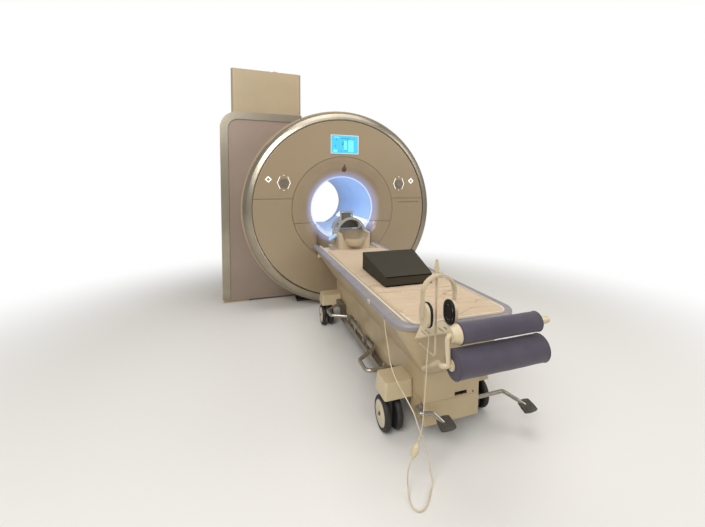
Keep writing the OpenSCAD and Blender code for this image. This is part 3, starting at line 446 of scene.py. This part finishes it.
def joined(target, part):
    # adds the faces of a second bmesh to the first and frees the second
    mesh = bpy.data.meshes.new("part")
    part.to_mesh(mesh)
    part.free()
    target.from_mesh(mesh)
    bpy.data.meshes.remove(mesh)
    return target


# hoses: the routes repeat those of the solid model, in millimetres
callHoseSizes = {"diameter": 5 * mm, "length": 0.488}
callRoute = [
    (-266, -2420, 705), (-267, -2420, 670), (-271, -2421, 630), (-274, -2422, 590), (-275, -2422, 550),
    (-277, -2422, 505), (-281, -2422, 450), (-285, -2422, 390), (-288, -2422, 340), (-290, -2422, 305),
    (-293, -2421, 280), (-299, -2420, 252), (-311.5, -2420, 223.8),
]
phoneHoseSizes = {"diameter": 6 * mm, "length": 1.232}
phoneRoute = [
    (-346, -2080, 677.5), (-344, -2084, 650), (-341, -2090, 606), (-336, -2120, 521), (-337, -2160, 451),
    (-329, -2220, 396), (-317, -2310, 355), (-304, -2370, 312), (-295, -2390, 268), (-280, -2400, 226),
    (-268, -2402, 179), (-252, -2410, 123), (-243, -2418, 68), (-236, -2422, 26), (-240, -2432, 8),
    (-258, -2452, 5.5), (-287, -2489, 5.5), (-325, -2522, 5.5), (-348, -2528, 5.5), (-368, -2512, 5.5),
    (-373, -2480, 5.5), (-366, -2448, 8), (-360, -2428, 22), (-360, -2420, 59), (-354, -2420, 115),
    (-336.3, -2420, 152),
]


def makeHose(name, route, sizes, nodeName):
    curve = bpy.data.curves.new(name, "CURVE")
    curve.dimensions = "3D"
    curve.bevel_depth = sizes["diameter"] / 2
    curve.bevel_resolution = 4
    curve.resolution_u = 8
    curve.use_fill_caps = True
    spline = curve.splines.new("BEZIER")
    spline.bezier_points.add(len(route) - 1)
    for point, place in zip(spline.bezier_points, route):
        point.co = Vector(place) * mm
        point.handle_left_type = point.handle_right_type = "AUTO"
    piece = bpy.data.objects.new(name, curve)
    bpy.context.scene.collection.objects.link(piece)
    curve.materials.append(finishes["hoseRubber"])
    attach(piece, "table_frame")
    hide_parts(nodeName)


makeHose("callHose", callRoute, callHoseSizes, "call_hose")
makeHose("phoneHose", phoneRoute, phoneHoseSizes, "headphone_hose")
print("hoses laid")


# lamps, floor and world: level light, in which a colour renders about as it is written
lampSettings = {
    "key": {"place": (-3.2, -5.2, 4.6), "aim": (0, -0.4, 0.9), "size": 3.5, "power": 255},
    "fill": {"place": (4.2, -4.2, 3.2), "aim": (0, -0.6, 0.9), "size": 3.0, "power": 95},
    "top": {"place": (0.2, -1.2, 5.6), "aim": (0, -0.6, 0.5), "size": 4.0, "power": 125},
}
for lampName, lamp in lampSettings.items():
    light = bpy.data.lights.new(lampName, "AREA")
    light.size = lamp["size"]
    light.energy = lamp["power"]
    holder = bpy.data.objects.new(lampName, light)
    bpy.context.scene.collection.objects.link(holder)
    holder.location = lamp["place"]
    aim = Vector(lamp["aim"]) - Vector(lamp["place"])
    holder.rotation_euler = aim.to_track_quat("-Z", "Y").to_euler()


roomSettings = {"light": 0.38, "floor": "#DAD7D1", "halfWidth": 30, "fadeCentre": (0, -0.9), "fadeStart": 2.0,
                "fadeEnd": 4.4}


def makeWorld():
    # a pale room all round: the camera sees it white, also through glass; as a light it is dimmer
    world = bpy.data.worlds.new("room")
    bpy.context.scene.world = world
    world.use_nodes = True
    tree = world.node_tree
    background = tree.nodes["Background"]
    background.inputs["Color"].default_value = (1, 1, 1, 1)
    rays = addNode(tree, "ShaderNodeLightPath")
    seen = addNode(tree, "ShaderNodeMath", {"operation": "MAXIMUM"},
                   links={0: rays.outputs["Is Camera Ray"], 1: rays.outputs["Is Transmission Ray"]})
    level = addNode(tree, "ShaderNodeMapRange", values={"To Min": roomSettings["light"], "To Max": 1.0},
                    links={"Value": seen.outputs["Value"]})
    tree.links.new(level.outputs["Result"], background.inputs["Strength"])


def makeFloor():
    # plain pale floor that keeps the object's shadow
    shape = bmesh.new()
    bmesh.ops.create_grid(shape, x_segments=2, y_segments=2, size=roomSettings["halfWidth"])
    moved(shape, (0, 0, -0.5 * mm))
    mesh = bpy.data.meshes.new("floor")
    shape.to_mesh(mesh)
    shape.free()
    floor = bpy.data.objects.new("floor", mesh)
    bpy.context.scene.collection.objects.link(floor)
    made, tree, shader, place = startFinish("paleFloor")
    shader.inputs["Base Color"].default_value = linear(roomSettings["floor"])
    shader.inputs["Roughness"].default_value = 0.85
    # for the camera the floor runs into the white of the room with distance
    x, y = roomSettings["fadeCentre"]
    centred = addNode(tree, "ShaderNodeMapping", values={"Location": (-x, -y, 0)}, links={"Vector": place})
    apart = addNode(tree, "ShaderNodeVectorMath", {"operation": "LENGTH"},
                    links={0: centred.outputs["Vector"]})
    far = addNode(tree, "ShaderNodeMapRange", {"interpolation_type": "SMOOTHSTEP"},
                  {"From Min": roomSettings["fadeStart"], "From Max": roomSettings["fadeEnd"]},
                  {"Value": apart.outputs["Value"]})
    rays = addNode(tree, "ShaderNodeLightPath")
    share = addNode(tree, "ShaderNodeMath", {"operation": "MULTIPLY"},
                    links={0: far.outputs["Result"], 1: rays.outputs["Is Camera Ray"]})
    white = addNode(tree, "ShaderNodeEmission", values={"Color": (1, 1, 1, 1), "Strength": 1.0})
    both = addNode(tree, "ShaderNodeMixShader", links={0: share.outputs["Value"], 1: shader.outputs["BSDF"],
                                                       2: white.outputs["Emission"]})
    tree.links.new(both.outputs["Shader"], tree.nodes["Material Output"].inputs["Surface"])
    mesh.materials.append(made)


makeWorld()
makeFloor()
print("lights and floor placed")

# castor wheels: pale discs dished into the outer side of each wheel
# radius of disc and wheel, how far the axle trails the stem, and place of the disc along the axle
hubSizes = {"radius": 70 * mm, "wheel": 95 * mm, "trail": 25 * mm, "face": 49.5 * mm}
# distance of each row of castor stems from the middle, and its place along the table
castorRows = {"foot": (0.283, -1.983), "head": (0.302, -0.433)}


def hubDiscs(side, row):
    across, along = castorRows[row]
    centre = Vector((across * (1 if side == "right" else -1), along - hubSizes["trail"], hubSizes["wheel"]))
    r = hubSizes["radius"]
    # outer face of each of the two wheels
    shape = turnedShape([(0, r), (2 * mm, r + 1 * mm), (4 * mm, r - 1 * mm), (5.5 * mm, r * 0.8),
                         (4.5 * mm, r * 0.42), (5.5 * mm, r * 0.36), (6 * mm, r * 0.2), (4 * mm, r * 0.14)])
    moved(shape, (hubSizes["face"], 0, 0))
    other = shape.copy()
    scaled(other, (-1, 1, 1))
    joined(shape, other)
    moved(shape, centre)
    finishPiece(f"hubDiscs_{row}_{side}", shape, "hubPlastic", f"wheels_{row}_{side}")


for row in castorRows:
    for side in ("left", "right"):
        hubDiscs(side, row)
print("castor wheels dressed")

# rails: white bead along the inner edge, round the foot end
railSizes = {"inner": 314 * mm, "outer": 360.3 * mm, "foot": -2.264, "head": -0.02, "corner": 74 * mm,
             "top": 702 * mm, "bead": 4.6 * mm, "seams": (-1.56, -2.12), "seamWidth": 1.8 * mm,
             "seamSide": (0.680, 0.691), "seamTop": (0.316, 0.350), "seamStep": 0.6 * mm}


def railPath(step=15):
    # U-shaped line along the rails' inner side, from the head end on the left to the head end on the right
    s = railSizes
    x, turn = s["inner"], s["corner"]
    line = [Vector((-x, s["head"], 0))]
    for side, start in ((-1, 180), (1, 270)):
        for k in range(0, 91, step):
            a = math.radians(start + k)
            line.append(Vector((side * (x - turn) + turn * math.cos(a),
                                s["foot"] + turn + turn * math.sin(a), 0)))
    line.append(Vector((x, s["head"], 0)))
    return line


def sweptShape(line, radius, sides=10):
    # round bar along a flat line at its own height, closed at both ends
    shape = bmesh.new()
    rings = []
    for i, point in enumerate(line):
        ahead = (line[min(i + 1, len(line) - 1)] - line[max(i - 1, 0)]).normalized()
        across = ahead.cross(Vector((0, 0, 1))).normalized()
        up = across.cross(ahead)
        ring = [shape.verts.new(point + across * radius * math.cos(t) + up * radius * math.sin(t))
                for t in (2 * math.pi * k / sides for k in range(sides))]
        rings.append([shape.edges.new((ring[k], ring[(k + 1) % sides])) for k in range(sides)])
    for a, b in zip(rings, rings[1:]):
        bmesh.ops.bridge_loops(shape, edges=a + b)
    bmesh.ops.holes_fill(shape, edges=rings[0] + rings[-1], sides=0)
    return shape


beadLine = [point + Vector((0, 0, railSizes["top"] - railSizes["bead"])) for point in railPath()]
finishPiece("railBead", sweptShape(beadLine, railSizes["bead"]), "topPlastic", "table_frame")
print("rail bead laid")

# soft goods
mattressSizes = {
    "lowFoot": (-0.275, -2.253),
    "highHead": (0.275, -0.425),
    "bottom": 0.6765,
    "top": 0.7145,
    "edge": 8 * mm,
    "lipLow": (-0.283, -2.301, 0.703),
    "lipEnd": -2.10,
    "corner": 60 * mm,
    "underSheet": 2 * mm,
}
# below: how far the smooth sheet lies under the top of the mattress; folds stand up from there
sheetSizes = {"width": 0.568, "flat": (0.59, 1.90), "below": 1.5 * mm, "tuck": 9.5 * mm,
              "rolledEdge": 14 * mm, "fadeEdge": 20 * mm}
cushionSizes = {
    "base": 0.7155,
    # left edge, right edge and place along the table of the low and the high end
    "foot": (-0.203, 0.138, -1.733),
    "head": (-0.188, 0.250, -1.217),
    "footHeight": 0.785,
    "headHeight": 0.846,
    "crown": 5 * mm,
    "edge": 9 * mm,
    # share by which the sides draw in, and how far the top lies under its nominal height at the rim
    "drawIn": 0.012,
    "rimDrop": 1.5 * mm,
}
# size in metres and seed of the noise behind each kind of fold, and how high each kind stands
foldNoise = {"bend": (0.22, 3.1), "ripple": (0.06, 7.7), "pucker": (0.09, 4.2), "swell": (0.3, 1.3),
             "across": (0.028, 9.9), "wave": (0.09, 5.0)}
foldHeights = {"ripple": 6.2 * mm, "pucker": 3.0 * mm, "across": 2.2 * mm, "wave": 1.4 * mm}


def smoothNoise(x, y, size, seed):
    return noise.noise(Vector((x / size, y / size, seed)))


def makeMattress():
    s = mattressSizes
    low = (s["lowFoot"][0], s["lowFoot"][1], s["bottom"])
    high = (s["highHead"][0], s["highHead"][1], s["top"] - s["underSheet"])
    shape = boxShape(low, high)
    bmesh.ops.subdivide_edges(shape, edges=[e for e in shape.edges if e.calc_length() > 1.5], cuts=60)
    bmesh.ops.subdivide_edges(shape, edges=[e for e in shape.edges if e.calc_length() > 0.3], cuts=20,
                              use_grid_fill=True)
    rounded(shape, [e for e in shape.edges if e.calc_face_angle(0) > 1], s["edge"], 4)
    # thin lip that lies over the foot rail
    lip = boxShape(s["lipLow"], (-s["lipLow"][0], s["lipEnd"], s["top"] - s["underSheet"]))
    rounded(lip, [e for e in lip.edges if abs(e.verts[0].co.z - e.verts[1].co.z) > 1 * mm], s["corner"], 10)
    joined(shape, lip)
    piece = finishPiece("mattressPad", shape, "mattressVinyl", "tabletop")
    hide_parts("mattress")


def crest(value, sharpness):
    # a ridge where the noise crosses zero
    return (1 - min(1, abs(value) * sharpness)) ** 2


def creaseHeight(x, y):
    # loose folds of the sheet: shallow ripples that grow higher towards the foot half
    n, h = foldNoise, foldHeights
    slack = min(1, max(0.15, (-0.9 - y) / 1.0))
    bend = smoothNoise(x, y, *n["bend"]) * 0.06
    ripple = crest(smoothNoise(x * 0.4 + bend, y + bend, *n["ripple"]), 4.5)
    pucker = crest(smoothNoise(x + bend, y * 0.7 - bend, *n["pucker"]), 6)
    swell = max(0, smoothNoise(x, y, *n["swell"]) + 0.2)
    # short fine creases that run across the table
    across = crest(smoothNoise(x * 0.3 + bend, y + 0.3 * bend, *n["across"]), 5)
    wave = max(0, smoothNoise(x, y, *n["wave"]))
    return slack * (h["ripple"] * ripple * (0.35 + swell) + h["pucker"] * pucker + h["across"] * across
                    + h["wave"] * wave)


def makeSheet():
    # cotton sheet laid over the mattress and tucked down its sides
    s = {**mattressSizes, **sheetSizes}
    foot = s["lipLow"][1] - 1 * mm
    width, length = s["width"], s["highHead"][1] - foot
    shape = bmesh.new()
    bmesh.ops.create_grid(shape, x_segments=110, y_segments=330, size=0.5)
    scaled(shape, (width, length, 1))
    turn = s["corner"]
    for vertex in shape.verts:
        fromFoot = vertex.co.y + length / 2
        inset = turn - math.sqrt(max(0, turn ** 2 - max(0, turn - fromFoot) ** 2))
        x, y = vertex.co.x * (1 - inset / (width / 2)), fromFoot + foot
        edge = min((width / 2 - abs(vertex.co.x)) * (1 - inset / (width / 2)), fromFoot, length - fromFoot)
        drop = max(0, 1 - edge / s["rolledEdge"])
        vertex.co = Vector((x, y, s["top"] - s["below"] + creaseHeight(x, y) * min(1, edge / s["fadeEdge"])
                            - s["tuck"] * drop ** 2))
    piece = finishPiece("mattressSheet", shape, "sheetCotton", "tabletop", sharp=80)


def cushionCorner(y):
    # left and right limits and height of the wedge at a place along the table
    s = cushionSizes
    foot, head = s["foot"], s["head"]
    t = (y - foot[2]) / (head[2] - foot[2])
    return (foot[0] + t * (head[0] - foot[0]), foot[1] + t * (head[1] - foot[1]),
            s["footHeight"] + t * (s["headHeight"] - s["footHeight"]))


def makeCushion():
    # foam wedge in a coated cover: firm faces with a slight crown, sides drawn in, soft edges
    s = cushionSizes
    shape = boxShape((-0.5, 0, 0), (0.5, 1, 1))
    bmesh.ops.subdivide_edges(shape, edges=shape.edges[:], cuts=23, use_grid_fill=True)
    for vertex in shape.verts:
        u, v, w = vertex.co.x + 0.5, vertex.co.y, vertex.co.z
        y = s["foot"][2] + v * (s["head"][2] - s["foot"][2])
        left, right, height = cushionCorner(y)
        crown = 16 * u * (1 - u) * v * (1 - v)
        pull = 1 - s["drawIn"] * (1 - 4 * (w - 0.5) ** 2) * (0.4 + 0.6 * abs(2 * v - 1))
        middle = (left + right) / 2
        x = middle + (left + u * (right - left) - middle) * pull
        lift = (s["crown"] * crown - s["rimDrop"]) * max(0, w - 0.5) * 2
        z = s["base"] + w * (height - s["base"]) + lift
        vertex.co = (x, y, z)
    rounded(shape, [e for e in shape.edges if e.calc_face_angle(0) > 1], s["edge"], 4)
    piece = finishPiece("cushionWedge", shape, "cushionVinyl", "tabletop", sharp=60)
    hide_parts("cushion")


makeMattress()
makeSheet()
makeCushion()
print("soft goods made")

# couch rolls: wound sheet with its turns showing at the ends, slightly dented outside
rollSizes = {
    "upper": {"place": (-2.555, 0.760), "radius": 46 * mm, "ends": (-0.205, 0.212), "wrap": 4 * mm,
              "seed": 200},
    "lower": {"place": (-2.568, 0.640), "radius": 64 * mm, "ends": (-0.238, 0.228), "wrap": 7 * mm,
              "seed": 120},
}
rollCore = 18 * mm
rollSkin = {"steps": 72, "cuts": 40, "under": 1.6 * mm, "sag": 1.2 * mm, "sagSize": 0.07,
            "dent": 1.5 * mm, "dentPlace": 0.06, "dentHalf": 0.02, "dentAngle": 1.2}


def makeRoll(name, s):
    # ends in rings that step out by the wrap's thickness, and an uneven skin between them
    turns = (s["radius"] - rollCore) / s["wrap"]
    rollLength = s["ends"][1] - s["ends"][0]
    shape = bmesh.new()
    for along in (-1, 1):
        # end face: rings of slightly dished turns
        profile = [(0, rollCore)]
        for k in range(int(turns)):
            r = rollCore + k * s["wrap"]
            profile += [(0.6 * mm, r + 0.3 * s["wrap"]), (0.6 * mm, r + 0.7 * s["wrap"]),
                        (-1.2 * mm, r + s["wrap"])]
        profile.append((-3 * mm, s["radius"]))
        end = turnedShape(profile, steps=rollSkin["steps"])
        scaled(end, (along, 1, 1))
        moved(end, (along * (rollLength / 2 - 1 * mm), 0, 0))
        joined(shape, end)
    skin, rows, d = bmesh.new(), [], rollSkin
    steps, cuts = d["steps"], d["cuts"]
    for i in range(cuts + 1):
        x = (i / cuts - 0.5) * (rollLength - 8 * mm)
        row = []
        for k in range(steps):
            a = 2 * math.pi * k / steps
            sag = d["sag"] * smoothNoise(x, a * s["radius"], d["sagSize"], s["seed"])
            near = max(0, 1 - abs(x - d["dentPlace"]) / d["dentHalf"])
            dent = near * max(0, math.cos(a - d["dentAngle"])) * d["dent"]
            r = s["radius"] - d["under"] + sag - dent
            row.append(skin.verts.new((x, r * math.cos(a), r * math.sin(a))))
        rows.append([skin.edges.new((row[k], row[(k + 1) % steps])) for k in range(steps)])
    for a, b in zip(rows, rows[1:]):
        bmesh.ops.bridge_loops(skin, edges=a + b)
    joined(shape, skin)
    moved(shape, ((s["ends"][0] + s["ends"][1]) / 2, *s["place"]))
    piece = finishPiece(f"couchRoll_{name}", shape, "couchRoll", f"roll_{name}", sharp=50)
    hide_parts(f"roll_{name}")


for rollName, rollSettings in rollSizes.items():
    makeRoll(rollName, rollSettings)
print("rolls wound")

# white laminate strip on the right ledge of the bore bed, glowing as a painted highlight of the ring's light
ledgeSizes = {"low": (0.243, 0.878), "high": (0.303, 0.933), "thick": 6 * mm, "start": 0.125, "end": 1.385}


def makeLedge():
    s = ledgeSizes
    across = s["high"][0] - s["low"][0]
    rise = s["high"][1] - s["low"][1]
    shape = boxShape((0, 0, 0), (math.hypot(across, rise), s["end"] - s["start"], s["thick"]), 1.5 * mm, 2)
    turned(shape, -math.atan2(rise, across), "Y")
    moved(shape, (s["low"][0], s["start"], s["low"][1]))
    finishPiece("ledgeHighlightStrip", shape, "ledgeLaminateHighlight", "gantry")


makeLedge()

# display: a generic layout of panels and bars, a little brighter or darker than the glass
displaySizes = {"height": 1.790, "front": -1.6 * mm, "thick": 0.4 * mm}
# panels that are off: deep blue, barely lit
finishes["screenDark"] = glowFinish("screenDark", "#1B4A60", "#2E9CC4", 0.55)
# panels that are on: pale cyan, the brightest part of the display
finishes["screenLight"] = glowFinish("screenLight", "#3F8FA6", "#74DCFA", 1.0)


def displayMarks(name, finish, marks):
    shape, height, front = bmesh.new(), displaySizes["height"], displaySizes["front"]
    for left, bottom, right, top in marks:
        joined(shape, boxShape((left * mm, front, height + bottom * mm),
                               (right * mm, front + displaySizes["thick"], height + top * mm)))
    finishPiece(name, shape, finish, "gantry")


# left, bottom, right and top of each panel from the middle of the glass, in millimetres
displayMarks("displayPanelsDark", "screenDark", [
    (-40, 62, 66, 68), (24, 34, 30, 56), (-30, -8, -16, 14), (-24, 18, -12, 30), (-70, -74, -62, -66),
    (-46, -82, -36, -76), (-8, -70, 26, -66), (92, 60, 108, 66), (-110, -30, -104, -6), (-96, 40, -90, 60)])
displayMarks("displayPanelsLight", "screenLight", [
    (40, -80, 100, 48), (-120, 70, -60, 82), (-10, -56, 24, 40), (-130, -84, -84, -56)])
print("display drawn")

# pedals: dark rubber paddles over the plates
pedalCentres = {"left": (-0.086, -2.292, 0.166), "right": (0.439, -2.290, 0.142)}
pedalSizes = {"halfWide": 43 * mm, "halfLong": 38 * mm, "halfThick": 10 * mm, "turn": 18,
              "taper": 0.14, "bow": 0.1, "thinning": 0.25,
              "treadStep": 12 * mm, "treadHalf": (30 * mm, 3 * mm), "treadLow": 8.5 * mm,
              "treadHigh": 11.5 * mm}


def makePedal(side, centre):
    s = pedalSizes
    shape = boxShape((-0.5, -0.5, -0.5), (0.5, 0.5, 0.5))
    bmesh.ops.subdivide_edges(shape, edges=shape.edges[:], cuts=7, use_grid_fill=True)
    for vertex in shape.verts:
        u, v, w = vertex.co.x * 2, vertex.co.y * 2, vertex.co.z * 2
        width = s["halfWide"] * (1 - s["taper"] * max(0, v))
        vertex.co = (u * width, v * s["halfLong"] * (1 - s["bow"] * u * u) + 2 * mm,
                     w * s["halfThick"] * (1 - s["thinning"] * u * u))
    rounded(shape, [e for e in shape.edges if e.calc_face_angle(0) > 0.7], 3 * mm, 2)
    wide, deep = s["treadHalf"]
    for k in range(-2, 3):
        y = k * s["treadStep"]
        joined(shape, boxShape((-wide, y - deep, s["treadLow"]), (wide, y + deep, s["treadHigh"]), 1 * mm, 2))
    turned(shape, math.radians(s["turn"]), "X")
    moved(shape, centre)
    finishPiece(f"pedalPaddle_{side}", shape, "padRubber", f"pedal_{side}")


for pedalSide, pedalCentre in pedalCentres.items():
    makePedal(pedalSide, pedalCentre)
print("pedals covered")

# headphones: black ring pads on the inner side of both cups
earSizes = {
    "pole": (-0.232, -2.442, 0.810),
    "reach": 54.5 * mm,
    "radius": 29 * mm,
    "stretch": 15 * mm,
    "thick": 13 * mm,
    "deep": 11 * mm,
    "fill": (6.5 * mm, 21 * mm, 1.6),
}


def makeEarPad(side, way):
    # a soft ring round a long oval, pressed against the shell
    s = earSizes
    shape = bmesh.new()
    rings = []
    around, section = 48, 12
    for i in range(around):
        t = 2 * math.pi * i / around
        cy, cz = math.cos(t), math.sin(t)
        centre = Vector((0, s["radius"] * cy, s["radius"] * cz + s["stretch"] * max(-1, min(1, cz * 2))))
        out = Vector((0, cy, cz))
        ring = []
        for k in range(section):
            a = 2 * math.pi * k / section
            skin = out * s["thick"] * math.cos(a) + Vector((s["deep"] * math.sin(a), 0, 0))
            ring.append(shape.verts.new(centre + skin))
        rings.append([shape.edges.new((ring[k], ring[(k + 1) % section])) for k in range(section)])
    for i in range(around):
        bmesh.ops.bridge_loops(shape, edges=rings[i] + rings[(i + 1) % around])
    # the cloth that fills the ring: half its thickness, its radius and how far it is drawn upright
    half, radius, upright = s["fill"]
    disc = turnedShape([(-half, 0), (-half, radius), (half, radius), (half, 0)])
    scaled(disc, (1, 1, upright))
    joined(shape, disc)
    moved(shape, s["pole"])
    moved(shape, (way * s["reach"], 0, 0))
    piece = finishPiece(f"earPad_{side}", shape, "earVinyl", f"ear_cup_{side}", sharp=70)


makeEarPad("left", -1)
makeEarPad("right", 1)
print("ear pads made")

# head coil: a dark mirror block in its pale frame, and a short pale blue cylinder at the left
coilSizes = {
    "mirrorLow": (-0.097, -0.232, 0.988),
    "mirrorHigh": (0.007, -0.190, 1.060),
    "blueCylinderEnd": (-0.241, -0.300, 0.7893),
    "blueCylinderStart": (-0.166, -0.300, 0.8407),
    "blueCylinderRadius": 21.5 * mm,
}


def makeBlueCylinder():
    # a short cylinder with a rounded end and a raised ring
    s = coilSizes
    start, end = Vector(s["blueCylinderStart"]), Vector(s["blueCylinderEnd"])
    reach, r = (end - start).length, s["blueCylinderRadius"]
    raisedRadius = r + 2 * mm
    shape = turnedShape([(0, 0), (0, r), (reach * 0.5, r), (reach * 0.52, raisedRadius), (reach * 0.7, raisedRadius),
                         (reach * 0.72, r), (reach - 4 * mm, r), (reach, r - 5 * mm), (reach, 0)])
    aim = (end - start).to_track_quat("X", "Z").to_matrix()
    bmesh.ops.rotate(shape, cent=(0, 0, 0), matrix=aim, verts=shape.verts)
    moved(shape, start)
    finishPiece("coilBlueCylinder", shape, "coilBlue", "tabletop")


makeBlueCylinder()
mirrorShape = boxShape(coilSizes["mirrorLow"], coilSizes["mirrorHigh"], 6 * mm)
finishPiece("mirrorBlock", mirrorShape, "mirrorGrey", "coil_lid")
print("coil fitted out")

# small fittings: a lock in the foot face, a knob and a clip on the left rail
fittingSizes = {
    "lock": (0.126, -2.217, 0.252),
    "knob": (-0.322, -0.372, 0.650),
    "clip": (-0.360, -1.870, 0.690),
}


def makeFittings():
    s = fittingSizes
    lock = turnedShape([(-1 * mm, 0), (-1 * mm, 5 * mm), (1.2 * mm, 5 * mm), (1.6 * mm, 4 * mm),
                        (1.6 * mm, 0)], axis="Y", steps=24)
    scaled(lock, (1, -1, 1))
    moved(lock, s["lock"])
    finishPiece("coverLock", lock, "darkSeam", "trolley")
    knob = turnedShape([(0, 0), (0, 9 * mm), (26 * mm, 9 * mm), (30 * mm, 16 * mm), (42 * mm, 17 * mm),
                        (46 * mm, 12 * mm), (46 * mm, 0)], steps=32)
    scaled(knob, (-1, 1, 1))
    moved(knob, s["knob"])
    finishPiece("railKnob", knob, "creamPaint", "table_frame")
    # clip let into the rail's side, with the dark hole of its catch
    x, y, z = s["clip"]
    clip = boxShape((x - 3 * mm, y - 20 * mm, z - 9 * mm), (x + 6 * mm, y + 20 * mm, z + 9 * mm), 2 * mm, 2)
    finishPiece("railClip", clip, "creamPaint", "table_frame")
    hole = boxShape((x - 3.6 * mm, y - 6 * mm, z - 4 * mm), (x - 2 * mm, y + 6 * mm, z + 4 * mm), 0.7 * mm, 2)
    finishPiece("railClipHole", hole, "darkSeam", "table_frame")


def makeRailSeams():
    # joints where one length of bumper meets the next, down its side and over its top
    s = railSizes
    shape = bmesh.new()
    half, step = s["seamWidth"] / 2, s["seamStep"]
    bottom, top = s["seamSide"]
    for y in s["seams"]:
        for side in (-1, 1):
            x = side * s["outer"]
            joined(shape, boxShape((x - step, y - half, bottom), (x + step, y + half, top)))
            low, high = sorted(side * edge for edge in s["seamTop"])
            joined(shape, boxShape((low, y - half, s["top"] - 0.5 * mm),
                                   (high, y + half, s["top"] + 0.4 * mm)))
    finishPiece("railSeams", shape, "seamGrey", "table_frame")


makeFittings()
makeRailSeams()
print("small fittings placed")

# closing
bpy.context.scene.view_settings.view_transform = "Standard"
